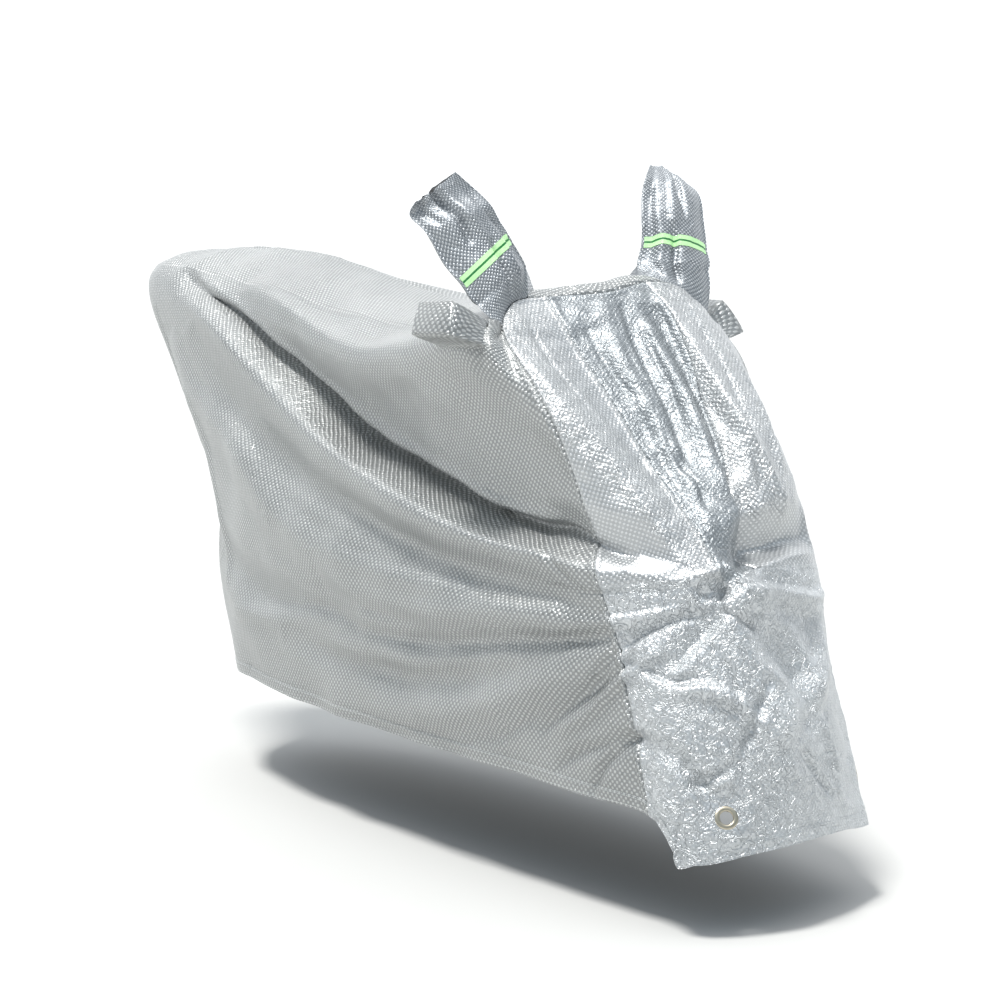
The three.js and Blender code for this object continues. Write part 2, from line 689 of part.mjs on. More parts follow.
// A ribbon across the front wall of a pocket, from one sewn edge to the other
function pocketBand(pocket) {
  const shell = new Shell(BAND.thickness);
  const rings = pocketRings(pocket, 0);
  const [below, middle, above] = [rings[BAND_ROW - 1], rings[BAND_ROW], rings[BAND_ROW + 1]];
  const lift = BAND.standoff + BAND.thickness;
  const columns = [];
  for (let i = 0; i < POCKET_STEPS; i += 1) {
    const up = above[i].clone().sub(below[i]).normalize();
    const after = middle[Math.min(POCKET_STEPS - 1, i + 1)];
    const before = middle[Math.max(0, i - 1)];
    const out = up.cross(after.clone().sub(before)).multiplyScalar(pocket.side).normalize();
    columns.push([below[i], middle[i], above[i]].map((target) => {
      const toEdge = target.clone().sub(middle[i]).setLength(target === middle[i] ? 0 : BAND.height / 2);
      return shell.vertex(middle[i].clone().add(toEdge).addScaledVector(out, lift), out);
    }));
  }
  for (let i = 0; i < columns.length - 1; i += 1) {
    for (let j = 0; j < 2; j += 1) {
      const corners = [columns[i][j], columns[i + 1][j], columns[i + 1][j + 1], columns[i][j + 1]];
      shell.cell(pocket.side === RIGHT ? corners : corners.reverse());
    }
  }
  return shell.geometry();
}

// Finishes
const SILVER = new THREE.MeshStandardMaterial({ color: 0xc3c8c9, roughness: 0.35, metalness: 0.8 });
const GREEN = new THREE.MeshStandardMaterial({ color: 0x9df08c, roughness: 0.5, metalness: 0 });
const NICKEL = new THREE.MeshStandardMaterial({ color: 0xb9b09a, roughness: 0.35, metalness: 1 });

const cover = new THREE.Group();
cover.position.set(-CARRIED_AT.x, 0, -CARRIED_AT.z);

function addPiece(name, geometry, material) {
  const mesh = new THREE.Mesh(geometry, material);
  mesh.name = name;
  cover.add(mesh);
}

addPiece("front_panel", frontPanel(), SILVER);
addPiece("yoke", yoke(), SILVER);
addPiece("apron", apron(), SILVER);
for (const [name, side] of [["right", RIGHT], ["left", LEFT]]) {
  addPiece(`side_panel_${name}`, sidePanel(side), SILVER);
  addPiece(`front_strip_${name}`, frontStrip(side), SILVER);
  addPiece(`lock_strip_${name}`, lockStrip(side), SILVER);
  addPiece(`lock_eyelet_${name}`, eyelet(side), NICKEL);
  addPiece(`mirror_pocket_${name}`, mirrorPocket(POCKETS[name]), SILVER);
  addPiece(`pocket_band_${name}`, pocketBand(POCKETS[name]), GREEN);
}

const model = new THREE.Group();
model.add(cover);

export default model;
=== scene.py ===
"""The dressed motorcycle cover: silver cloth panels, mirror pockets, bands, eyelets, hems and stitches."""

import logging
import math
from collections.abc import Callable, Sequence
from dataclasses import dataclass, field
from enum import Enum

import bmesh
import bpy
import numpy as np
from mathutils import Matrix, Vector


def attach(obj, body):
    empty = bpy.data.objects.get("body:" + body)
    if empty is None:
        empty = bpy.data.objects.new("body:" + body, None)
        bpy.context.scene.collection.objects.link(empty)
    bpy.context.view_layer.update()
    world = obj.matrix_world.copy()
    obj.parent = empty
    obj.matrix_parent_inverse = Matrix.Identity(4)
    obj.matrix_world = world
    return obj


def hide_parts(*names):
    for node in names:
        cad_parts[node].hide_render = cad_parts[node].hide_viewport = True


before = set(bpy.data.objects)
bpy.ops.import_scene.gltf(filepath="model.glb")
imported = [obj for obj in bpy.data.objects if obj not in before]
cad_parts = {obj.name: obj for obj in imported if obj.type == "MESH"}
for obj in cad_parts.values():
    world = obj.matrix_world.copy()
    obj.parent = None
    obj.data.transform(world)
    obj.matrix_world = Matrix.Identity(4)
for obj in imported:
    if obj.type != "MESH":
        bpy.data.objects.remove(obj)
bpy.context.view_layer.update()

logging.basicConfig(level=logging.INFO, format="%(message)s")
LOG = logging.getLogger("cover")

MM = 0.001
CARRIED_AT = np.array([40.0, 0.0, 1076.0])
LEVELS = 6
NOSE = 12
SIDE_SEAM = 9
FRONT_SEAM = 11
WAIST = 2.0
EDGE = 4.0
RIDGE = 5.0
WINDOW_U = 10.5
WINDOW_V = 4.4
# How many mm of cloth one station and one level stand for round the shoulder's edge
CLOTH_UNITS = np.array([90.0, 300.0])

Grid = np.ndarray
Rows = Sequence[Sequence[float]]


class Side(Enum):
    """The cover's right side has negative y, its left side positive y."""

    RIGHT = -1
    LEFT = 1


class Zone(Enum):
    """Which coordinates a fold's line is drawn in."""

    SIDE = "x and z on one side"
    FRONT = "y and z across the front"
    CLOTH = "stations and levels on one side"


@dataclass(frozen=True)
class Station:
    """One cross-section of the cover: a point (x, half width, height) in mm for each level, hem first."""

    name: str
    points: Rows


@dataclass(frozen=True)
class Fold:
    """A trough (negative depth) or ridge along a line, sizes in mm.

    Above is its width left of the line's own direction and below its width to the right. Sharp is
    0 for a round fold and 1 for a crease, and fade says how early its ends run out.
    """

    name: str
    depth: float
    above: float
    below: float
    line: Rows
    side: Side | None = None
    zone: Zone = Zone.SIDE
    sharp: float = 0.0
    fade: float = 0.6


@dataclass(frozen=True)
class Bulge:
    """A box-shaped bulge of a shoulder, between stations and levels, sizes in mm."""

    side: Side
    along: tuple[float, float]
    up: tuple[float, float]
    reach: float
    lift: tuple[float, float]
    slope: tuple[float, float]


@dataclass(frozen=True)
class HemCorner:
    """The corner of the apron's hem, drawn back and down, by station and level, sizes in mm."""

    station: float = 9.92
    half_width: float = 0.22
    height: float = 0.4
    back: float = 10.0
    down: float = 14.0


@dataclass(frozen=True)
class SeamForm:
    """The groove of a seam and the welt beside it, sizes in mm."""

    groove_depth: float = 1.4
    groove_width: float = 3.5
    welt_height: float = 1.3
    welt_start: float = 2.5
    welt_end: float = 13.0
    welt_slope: float = 3.0
    calm_width: float = 9.0


@dataclass(frozen=True)
class HemForm:
    """The turned-up double layer of a hem and the step where it is sewn, sizes in mm."""

    height: float = 24.0
    lift: float = 1.1
    lift_slope: float = 3.0
    groove_depth: float = 0.9
    groove_width: float = 4.0


STATIONS = (
    Station("rear seam", ((-190, 0, 205), (-245, 0, 400), (-270, 0, 580), (-440, 0, 800),
                          (-604, 0, 1010), (-572, 0, 1060))),
    Station("tail corner", ((-95, 145, 208), (-146, 157, 400), (-163, 150, 580), (-372, 128, 800),
                            (-545, 104, 1014), (-512, 0, 1072))),
    Station("rear quarter", ((60, 218, 214), (20, 228, 400), (-10, 222, 580), (-180, 190, 790),
                             (-370, 160, 1012), (-370, 0, 1082))),
    Station("mid rear", ((230, 252, 212), (205, 266, 400), (190, 268, 590), (80, 235, 780),
                         (-120, 185, 1008), (-180, 0, 1088))),
    Station("middle", ((450, 268, 208), (435, 288, 400), (425, 290, 600), (350, 250, 780),
                       (170, 205, 985), (40, 0, 1078))),
    Station("mid front", ((670, 274, 205), (660, 294, 400), (660, 298, 600), (610, 262, 780),
                          (440, 225, 955), (290, 0, 1042))),
    Station("saddle", ((880, 276, 203), (880, 294, 400), (880, 296, 600), (830, 280, 780),
                       (690, 255, 940), (520, 0, 1012))),
    Station("rear shoulder", ((1080, 274, 203), (1070, 290, 400), (1050, 286, 590), (970, 278, 800),
                              (900, 290, 966), (700, 0, 1015))),
    Station("shoulder", ((1280, 268, 197), (1240, 278, 390), (1195, 268, 575), (1095, 268, 795),
                         (1036, 298, 978), (800, 0, 1012))),
    Station("side seam", ((1455, 258, 192), (1382, 252, 400), (1312, 250, 563), (1203, 250, 792),
                          (1018, 250, 980), (855, 0, 1012))),
    Station("front corner", ((1548, 254, 128), (1482, 226, 370), (1396, 176, 572), (1208, 172, 808),
                             (968, 186, 1028), (885, 0, 1016))),
    Station("front seam", ((1600, 138, 141), (1545, 118, 370), (1450, 98, 577), (1200, 98, 808),
                           (962, 106, 1036), (918, 0, 1027))),
    Station("nose", ((1598, 30, 146), (1553, 35, 370), (1457, 45, 586), (1243, 22, 814),
                     (994, 0, 1042), (950, 0, 1036))),
)
LEFT_CHANGES: dict[str, dict[int, tuple[float, float, float]]] = {
    "middle": {4: (170, 205, 979)},
    "mid front": {4: (440, 225, 942)},
    "saddle": {4: (690, 250, 926)},
    "rear shoulder": {4: (830, 272, 958)},
    "shoulder": {3: (1090, 252, 795), 4: (955, 276, 962)},
    "side seam": {0: (1400, 222, 180), 1: (1336, 236, 400), 2: (1288, 243, 563),
                  3: (1174, 240, 786), 4: (1008, 234, 982)},
    "front corner": {0: (1512, 188, 131), 1: (1412, 193, 370), 2: (1382, 166, 574),
                     3: (1258, 172, 800), 4: (985, 180, 1046)},
    "front seam": {0: (1566, 75, 141), 1: (1502, 86, 370), 2: (1424, 5, 588), 3: (1278, 50, 808),
                   4: (988, 98, 1057)},
    "nose": {0: (1598, -30, 146), 1: (1553, -35, 370), 2: (1457, -45, 586), 3: (1243, -22, 814)},
}

R, L = Side.RIGHT, Side.LEFT
MAIN_FOLDS = (
    Fold("lip", -58, 13, 50, ((-330, 1044), (-176, 1009), (-54, 978), (148, 908), (282, 856), (388, 814),
                              (530, 768), (700, 730), (868, 695), (1003, 665), (1108, 651), (1198, 648),
                              (1292, 632), (1346, 608)), R, sharp=0.35, fade=0.7),
    Fold("main trough", -48, 175, 56, ((-300, 1045), (-176, 1021), (-54, 990), (148, 920), (282, 868),
                                        (388, 826), (530, 780), (700, 742), (868, 707), (1003, 677),
                                        (1108, 663), (1198, 660), (1292, 644)), R, sharp=0.8, fade=0.8),
    Fold("trough end", -22, 44, 30, ((1150, 664), (1230, 660), (1292, 644), (1346, 618), (1389, 600),
                                     (1432, 582)), R, sharp=0.6),
    Fold("seat roll", 22, 80, 75, ((22, 991), (272, 938), (487, 900), (638, 900), (772, 930),
                                   (934, 957), (1040, 956)), R, sharp=0.35),
    Fold("main ridge", 26, 46, 72, ((-258, 1020), (-129, 979), (39, 901), (167, 837), (338, 770),
                                    (538, 710), (737, 660), (918, 627), (1087, 611), (1212, 597),
                                    (1320, 586), (1386, 576), (1447, 565)), R, sharp=0.25),
    Fold("middle hollow", -17, 55, 46, ((-190, 919), (-60, 822), (137, 734), (380, 657), (625, 606),
                                        (861, 568), (1065, 554), (1268, 537)), R),
    Fold("second ridge", 22, 50, 85, ((-312, 911), (-200, 790), (63, 697), (237, 613), (418, 551),
                                      (556, 530), (765, 510), (1011, 503), (1246, 506)), R, sharp=0.2),
    Fold("rear hollow", -20, 75, 60, ((-120, 470), (60, 440), (210, 411), (428, 398), (620, 400)), R),
    Fold("lower roll", 13, 34, 34, ((482, 491), (792, 461), (1071, 490), (1342, 498), (1440, 528)), R),
    Fold("rear roll", 10, 28, 30, ((20, 350), (200, 366), (373, 383), (759, 422)), R),
    Fold("lower crease", -17, 26, 32, ((380, 420), (546, 406), (786, 396), (1073, 438), (1240, 464),
                                       (1398, 501), (1461, 530)), R, sharp=0.6),
    Fold("lower hollow", -16, 34, 44, ((300, 345), (450, 330), (579, 322), (778, 325), (930, 349),
                                       (1127, 397)), R),
    Fold("hem roll", 12, 44, 44, ((475, 240), (803, 262), (1065, 330), (1232, 399), (1363, 459)), R),
    Fold("seam crease one", -14, 14, 24, ((1400, 452), (1321, 391), (1247, 340), (1168, 286)), R, sharp=0.7),
    Fold("seam crease two", -11, 14, 18, ((1205, 222), (1260, 262), (1338, 294), (1420, 322)), R, sharp=0.6),
    Fold("seam crease three", -13, 20, 14, ((1430, 335), (1378, 290), (1339, 259), (1304, 200)), R,
         sharp=0.6),
    Fold("seam crease four", -13, 14, 20, ((1461, 530), (1400, 496), (1344, 441), (1304, 383)), R, sharp=0.6),
    Fold("seam ridge", 11, 14, 16, ((1440, 470), (1380, 420), (1310, 350), (1230, 300)), R, sharp=0.3),
    Fold("left trough", -70, 180, 75, ((-20, 990), (250, 890), (520, 790), (800, 700), (1140, 640)), L),
    Fold("left ridge", 18, 80, 100, ((-80, 940), (200, 780), (520, 665), (860, 600), (1200, 570)), L),
    Fold("left hollow", -17, 85, 90, ((-120, 710), (200, 560), (600, 430), (1080, 440)), L),
)
FRONT_FOLDS = (
    Fold("shoulder edge", 34, 100, 85, ((8.95, 3.97), (9.2, 3.64), (9.22, 3.44), (9.32, 3.15), (9.65, 2.84),
                                        (9.99, 2.48), (10.24, 2.2), (10.6, 2.06), (11.0, 2.0)), R,
         Zone.CLOTH, sharp=0.9),
    Fold("panel hollow", -20, 42, 13, ((21, 1029), (0, 977), (-12, 916), (-18, 863), (-30, 812),
                                       (-40, 779), (-58, 738)), zone=Zone.FRONT, sharp=0.4),
    Fold("panel ridge", 9, 18, 24, ((-14, 1029), (-45, 943), (-51, 844), (-58, 731), (-77, 638)),
         zone=Zone.FRONT),
    Fold("right hollow", -34, 42, 34, ((72, 1020), (60, 916), (54, 861), (41, 809), (33, 762),
                                       (28, 704), (31, 649), (35, 612)), zone=Zone.FRONT, sharp=0.3,
         fade=0.45),
    Fold("right ridge", 20, 36, 16, ((98, 1037), (93, 962), (84, 881), (89, 809), (104, 751),
                                     (125, 652)), zone=Zone.FRONT, sharp=0.6),
    Fold("gather", -20, 24, 22, ((-150, 552), (-112, 562), (-72, 572)), zone=Zone.FRONT, sharp=0.4),
    Fold("nose hollow", -46, 66, 34, ((-70, 588), (-20, 608), (39, 620), (115, 626), (193, 620)),
         zone=Zone.FRONT, sharp=0.3),
    Fold("waist ridge", 22, 20, 34, ((-104, 571), (-50, 556), (10, 543), (56, 533), (139, 518), (190, 520)),
         zone=Zone.FRONT, sharp=0.7),
    Fold("apron hollow", -28, 50, 60, ((-84, 530), (-40, 480), (10, 440), (20, 380), (-10, 330)),
         zone=Zone.FRONT),
    Fold("blade", -22, 13, 30, ((-108, 534), (-135, 514), (-161, 491), (-202, 452), (-236, 425)),
         zone=Zone.FRONT, sharp=0.5),
    Fold("wedge", -10, 8, 18, ((-113, 528), (-80, 514), (-60, 503)), zone=Zone.FRONT, sharp=0.7),
    Fold("pinched seam", -9, 8, 8, ((-94, 572), (-112, 550), (-136, 524)), zone=Zone.FRONT, sharp=1.0),
    Fold("apron ridge", 18, 40, 46, ((150, 505), (119, 417), (60, 380), (-28, 355), (-97, 318)),
         zone=Zone.FRONT, sharp=0.3),
    Fold("corner hollow", -15, 24, 20, ((-262, 325), (-240, 300), (-226, 272), (-205, 235), (-190, 200)),
         zone=Zone.FRONT, sharp=0.4),
    Fold("corner ridge", 12, 20, 22, ((-237, 395), (-185, 404), (-129, 380), (-90, 340)), zone=Zone.FRONT,
         sharp=0.3),
    Fold("apron crease", -11, 14, 18, ((-60, 420), (-87, 385), (-140, 300), (-150, 227)),
         zone=Zone.FRONT, sharp=0.5),
)
# The finer creases that the solids leave out
FINE_FOLDS = (
    Fold("seat dip", -9, 34, 30, ((120, 1030), (350, 982), (520, 948), (700, 955), (860, 985)), R),
    Fold("seat fold", 7, 20, 26, ((-60, 1040), (160, 1000), (330, 962)), R),
    Fold("rear fold", -8, 22, 26, ((-420, 960), (-330, 830), (-260, 700), (-215, 560)), R),
    Fold("drape", 7, 24, 26, ((-250, 800), (-120, 640), (-60, 500), (0, 380)), R),
    Fold("lip edge", 6, 20, 8, ((-176, 1027), (-54, 997), (148, 926), (282, 874), (388, 830), (530, 784),
                               (700, 747), (868, 713), (1003, 679), (1108, 667), (1198, 664)), R),
    Fold("gather ray one", -4, 9, 10, ((1446, 562), (1380, 556), (1290, 550), (1180, 552)), R, sharp=0.6),
    Fold("gather ray two", -5, 9, 11, ((1450, 548), (1390, 528), (1310, 512), (1200, 495)), R, sharp=0.6),
    Fold("ridge pleat", -5, 10, 14, ((1130, 650), (1190, 610), (1250, 570), (1290, 545)), R, sharp=0.5),
    Fold("hem crease", -7, 12, 16, ((940, 235), (1060, 262), (1180, 330)), R, sharp=0.4),
    Fold("side pleat", -7, 16, 16, ((560, 555), (800, 536), (1040, 528), (1240, 530)), R, sharp=0.3),
    Fold("left drape one", -7, 28, 26, ((-380, 880), (-220, 700), (-120, 520), (-60, 380)), L),
    Fold("left drape two", 7, 26, 30, ((-200, 820), (20, 620), (240, 500), (520, 440)), L),
    Fold("left crease one", 6, 20, 26, ((360, 560), (660, 520), (960, 520), (1260, 545)), L),
    Fold("left crease two", -6, 20, 20, ((620, 470), (880, 460), (1120, 490), (1270, 530)), L),
    Fold("left crease three", 5, 18, 22, ((500, 330), (760, 320), (1040, 350)), L),
    Fold("left seat fold", 8, 26, 36, ((180, 990), (400, 940), (640, 900)), L),
    Fold("panel fold one", -7, 8, 8, ((30, 1000), (16, 940), (6, 880), (-14, 820)), zone=Zone.FRONT,
         sharp=0.6),
    Fold("panel fold two", -8, 7, 10, ((-44, 820), (-56, 770), (-50, 720), (-64, 680)), zone=Zone.FRONT,
         sharp=0.7),
    Fold("panel fold three", -5, 10, 12, ((-70, 1000), (-76, 930), (-66, 860)), zone=Zone.FRONT),
    Fold("strip fold", -5, 12, 16, ((-190, 1000), (-195, 920), (-170, 820)), zone=Zone.FRONT),
    Fold("left strip fold one", -6, 14, 16, ((150, 1010), (140, 900), (110, 800), (70, 700)),
         zone=Zone.FRONT),
    Fold("left strip fold two", 6, 14, 18, ((200, 960), (190, 860), (160, 760), (110, 660)),
         zone=Zone.FRONT),
    Fold("apron fold one", -9, 10, 14, ((-250, 440), (-215, 420), (-180, 430)), zone=Zone.FRONT, sharp=0.5),
    Fold("apron fold two", -8, 14, 14, ((-240, 250), (-200, 262), (-150, 290)), zone=Zone.FRONT),
    Fold("apron fold three", 7, 14, 18, ((-90, 420), (-60, 340), (-50, 250)), zone=Zone.FRONT),
    Fold("apron fold four", -8, 12, 12, ((-30, 300), (10, 260), (60, 200)), zone=Zone.FRONT),
    Fold("apron fold five", -8, 10, 12, ((-150, 480), (-130, 420), (-140, 360)), zone=Zone.FRONT),
    Fold("apron fold six", 8, 12, 12, ((60, 330), (80, 260), (90, 190)), zone=Zone.FRONT),
)
BULGES = (
    Bulge(R, (7.12, 7.92), (3.9, 4.1), 66, (14, 44), (0.13, 0.055)),
    Bulge(L, (7.3, 8.04), (3.88, 4.1), 64, (8, 42), (0.14, 0.07)),
)
EYELETS_AT = {R: (10.58, 0.285), L: (9.86, 0.3)}
HEM_CORNER = HemCorner()
SEAM_FORM = SeamForm()
HEM_FORM = HemForm()
# How far the rows of stitches lie from the edges, in mm
SEAM_INSET = 6.0
HEM_INSETS = (3.5, 20.0, 23.0)
STITCH_LIFT = 0.35


def smooth(value: Grid) -> Grid:
    """Eases from 0 to 1 between 0 and 1."""
    clipped = np.clip(value, 0.0, 1.0)
    return clipped * clipped * (3 - 2 * clipped)


def curve_weights(t: Grid) -> Grid:
    """Weights of the four neighbours on a Catmull-Rom curve.

    Args:
        t: Shares from the second neighbour to the third.

    Returns:
        An array with four weights for each share.
    """
    square, cube = t * t, t * t * t
    return 0.5 * np.stack([2 * square - t - cube, 2 - 5 * square + 3 * cube,
                           t + 4 * square - 3 * cube, cube - square], axis=-1)


def slope_weights(t: Grid) -> Grid:
    """The derivative of curve_weights by t.

    Args:
        t: Shares from the second neighbour to the third.

    Returns:
        An array with four weights for each share.
    """
    square = t * t
    return 0.5 * np.stack([4 * t - 1 - 3 * square, 9 * square - 10 * t,
                           1 + 8 * t - 9 * square, 3 * square - 2 * t], axis=-1)


def smooth_line(points: Rows, steps: int = 6) -> Grid:
    """Rounds a line of a few points.

    Args:
        points: The points that the line passes through.
        steps: The number of straight pieces between two points.

    Returns:
        The rounded line's points.
    """
    given = np.array(points, float)
    padded = np.vstack([given[:1], given, given[-1:]])
    weights = curve_weights(np.arange(steps) / steps)
    pieces = [weights @ padded[i:i + 4] for i in range(len(given) - 1)]
    return np.vstack([*pieces, given[-1:]])


def fold_offset(fold: Fold, across: Grid, height: Grid) -> Grid:
    """How far a fold moves each point outward, in mm.

    Args:
        fold: The fold.
        across: The points' first coordinate in the fold's view.
        height: The points' height.

    Returns:
        The offsets, 0 outside the fold's widths.
    """
    path = smooth_line(fold.line)
    if fold.zone is Zone.CLOTH:
        path = path * CLOTH_UNITS
    reach = max(fold.above, fold.below)
    low, high = path.min(axis=0) - reach, path.max(axis=0) + reach
    near = (across > low[0]) & (across < high[0]) & (height > low[1]) & (height < high[1])
    out = np.zeros_like(across)
    if not near.any():
        return out
    point = np.stack([across[near], height[near]], axis=-1)
    best = np.full(len(point), np.inf)
    signed = np.zeros(len(point))
    share = np.zeros(len(point))
    count = len(path) - 1
    for i in range(count):
        step = path[i + 1] - path[i]
        away = point - path[i]
        t = np.clip((away @ step) / (step @ step), 0, 1)
        rest = away - t[:, None] * step
        distance = np.hypot(rest[:, 0], rest[:, 1])
        closer = distance < best
        best[closer] = distance[closer]
        signed[closer] = (step[0] * rest[:, 1] - step[1] * rest[:, 0])[closer]
        share[closer] = (i + t[closer]) / count
    ratio = np.clip(best / np.where(signed > 0, fold.above, fold.below), 0, 1)
    profile = (1 - fold.sharp) * (1 - ratio**2) ** 2 + fold.sharp * (1 - ratio) ** 1.6 * (1 + 0.4 * ratio)
    out[near] = fold.depth * profile * np.sin(np.pi * np.clip(share, 0, 1)) ** fold.fade
    return out


@dataclass
class HangingForm:
    """The shape in which the cloth hangs: stations along the cover, levels from hem to ridge."""

    centre_fade: float = 70.0
    front_from: float = 8.3
    front_width: float = 0.7
    nets: dict[Side, Grid] = field(init=False)

    def __post_init__(self) -> None:
        """Fills the net of each side, with one more row and column all round."""
        inner = {side: self._side_points(side) for side in Side}
        flip = np.array([1.0, -1.0, 1.0])
        self.nets = {}
        for side in Side:
            other = inner[Side(-side.value)]
            rows = np.concatenate([other[1:2] * flip, inner[side], other[-2:-1] * flip])
            opposite = np.concatenate([inner[side][1:2] * flip, other, inner[side][-2:-1] * flip])
            below = 2 * rows[:, :1] - rows[:, 1:2]
            above = opposite[:, LEVELS - 2:LEVELS - 1] * flip
            self.nets[side] = np.concatenate([below, rows, above], axis=1)

    @staticmethod
    def _side_points(side: Side) -> Grid:
        """The table's points of one side, with its own changes.

        Args:
            side: The side.

        Returns:
            The points in mm, by station and level.
        """
        rows = np.array([station.points for station in STATIONS], float)
        if side is Side.LEFT:
            for index, station in enumerate(STATIONS):
                for level, point in LEFT_CHANGES.get(station.name, {}).items():
                    rows[index, level] = point
        return rows

    def _blend(self, side: Side, u: Grid, v: Grid, kind_u: Callable, kind_v: Callable) -> Grid:
        """Weighs the net's points with a weight function for each direction.

        Args:
            side: The side.
            u: Stations.
            v: Levels.
            kind_u: The weight function along the stations.
            kind_v: The weight function along the levels.

        Returns:
            The weighed points, or slopes, in mm.
        """
        i = np.clip(np.floor(u), 0, NOSE - 1).astype(int)
        j = np.clip(np.floor(v), 0, LEVELS - 2).astype(int)
        weights_u, weights_v = kind_u(u - i), kind_v(v - j)
        out = np.zeros((*u.shape, 3))
        for a in range(4):
            for b in range(4):
                weight = (weights_u[..., a] * weights_v[..., b])[..., None]
                out += weight * self.nets[side][i + a, j + b]
        out[..., 1] *= side.value
        return out

    def base(self, side: Side, u: Grid, v: Grid) -> tuple[Grid, Grid]:
        """The smooth form without folds.

        Args:
            side: The side.
            u: Stations.
            v: Levels.

        Returns:
            The points in mm and their outward normals.
        """
        points = self._blend(side, u, v, curve_weights, curve_weights)
        along = self._blend(side, u, v, slope_weights, curve_weights)
        up = self._blend(side, u, v, curve_weights, slope_weights)
        normal = -side.value * np.cross(along, up)
        return points, normal / (np.linalg.norm(normal, axis=-1, keepdims=True) + 1e-9)

    def cloth(self, side: Side, u: Grid, v: Grid, fine: bool = True) -> Grid:
        """The cloth's outer face with its folds and bulges.

        Args:
            side: The side.
            u: Stations.
            v: Levels.
            fine: True adds the finer creases.

        Returns:
            The points in mm.
        """
        points, normal = self.base(side, u, v)
        x, y, z = points[..., 0], points[..., 1], points[..., 2]
        on_side, on_front = np.zeros_like(x), np.zeros_like(x)
        for fold in (*MAIN_FOLDS, *FRONT_FOLDS, *(FINE_FOLDS if fine else ())):
            if fold.zone is Zone.FRONT:
                on_front += fold_offset(fold, y, z)
            elif fold.side is side and fold.zone is Zone.CLOTH:
                on_side += fold_offset(fold, u * CLOTH_UNITS[0], v * CLOTH_UNITS[1])
            elif fold.side is side:
                on_side += fold_offset(fold, x, z)
        front_share = smooth((u - self.front_from) / self.front_width)
        offset = on_side * smooth(np.abs(y) / self.centre_fade) + on_front * front_share
        points = points + offset[..., None] * normal
        for bulge in BULGES:
            if bulge.side is side:
                self._add_bulge(bulge, u, v, points)
        near_corner = np.clip(1 - np.abs(u - HEM_CORNER.station) / HEM_CORNER.half_width, 0, 1)
        corner = near_corner * smooth(1 - v / HEM_CORNER.height)
        points[..., 0] -= HEM_CORNER.back * corner
        points[..., 2] -= HEM_CORNER.down * corner
        return points

    @staticmethod
    def _add_bulge(bulge: Bulge, u: Grid, v: Grid, points: Grid) -> None:
        """Pushes a bulge's points out and up, in place.

        Args:
            bulge: The bulge.
            u: Stations.
            v: Levels.
            points: The points in mm, which are moved.
        """
        outside_u = np.maximum(np.maximum(bulge.along[0] - u, u - bulge.along[1]), 0)
        outside_v = np.maximum(np.maximum(bulge.up[0] - v, v - bulge.up[1]), 0)
        share = smooth(1 - outside_u / bulge.slope[0]) * smooth(1 - outside_v / bulge.slope[1])
        height = np.clip((v - bulge.up[0]) / (bulge.up[1] - bulge.up[0]), 0, 1)
        points[..., 1] += bulge.side.value * bulge.reach * share
        points[..., 2] += (bulge.lift[0] + (bulge.lift[1] - bulge.lift[0]) * height) * share

    def at(self, side: Side, u: float, v: float) -> tuple[Grid, Grid]:
        """One point of the folded cloth and its outward normal.

        Args:
            side: The side.
            u: The station.
            v: The level.

        Returns:
            The point in mm and its unit normal.
        """
        step = 0.02
        us = np.array([u, u + step, u - step, u, u])
        vs = np.array([v, v, v, v + step, v - step])
        points = self.cloth(side, us, vs, fine=False)
        normal = -side.value * np.cross(points[1] - points[2], points[3] - points[4])
        return points[0], normal / np.linalg.norm(normal)


FORM = HangingForm()


@dataclass(frozen=True)
class Crinkles:
    """Short creases of the stiff film, strewn over a piece with a fixed seed, sizes in mm."""

    seed: int
    per_square_metre: float
    length: tuple[float, float] = (25.0, 70.0)
    width: tuple[float, float] = (5.0, 11.0)
    height: tuple[float, float] = (0.6, 2.0)
    bend: float = 0.012
    swell: float = 1.2
    swell_length: float = 150.0
    swell_waves: int = 10
    wave_share: float = 0.32

    def offset(self, flat: Grid) -> Grid:
        """How far each point moves outward.

        Args:
            flat: The points' places on the flat cloth, in mm.

        Returns:
            The offsets in mm.
        """
        draw = np.random.default_rng(self.seed)
        a, b = flat[..., 0], flat[..., 1]
        low, high = flat.reshape(-1, 2).min(axis=0), flat.reshape(-1, 2).max(axis=0)
        out = np.zeros_like(a)
        for _ in range(self.swell_waves):
            angle, phase = draw.uniform(0, 2 * math.pi, 2)
            pitch = self.swell_length * draw.uniform(0.5, 1.6)
            wave = (a * math.cos(angle) + b * math.sin(angle)) * 2 * math.pi / pitch
            out += self.wave_share * self.swell * np.sin(wave + phase)
        area = float(np.prod(high - low)) * MM * MM
        for _ in range(int(self.per_square_metre * area)):
            centre = draw.uniform(low, high)
            angle = draw.uniform(0, math.pi)
            length, width = draw.uniform(*self.length) / 2, draw.uniform(*self.width)
            height = draw.uniform(*self.height) * draw.choice([-1.0, 1.0])
            bend = draw.uniform(-self.bend, self.bend)
            near = (np.abs(a - centre[0]) < length + width) & (np.abs(b - centre[1]) < length + width)
            if not near.any():
                continue
            da, db = a[near] - centre[0], b[near] - centre[1]
            along = da * math.cos(angle) + db * math.sin(angle)
            across = db * math.cos(angle) - da * math.sin(angle) + bend * along * along
            shape = np.clip(1 - np.abs(across) / width, 0, 1) * np.clip(1 - (along / length) ** 2, 0, 1)
            out[near] += height * shape**1.4
        return out


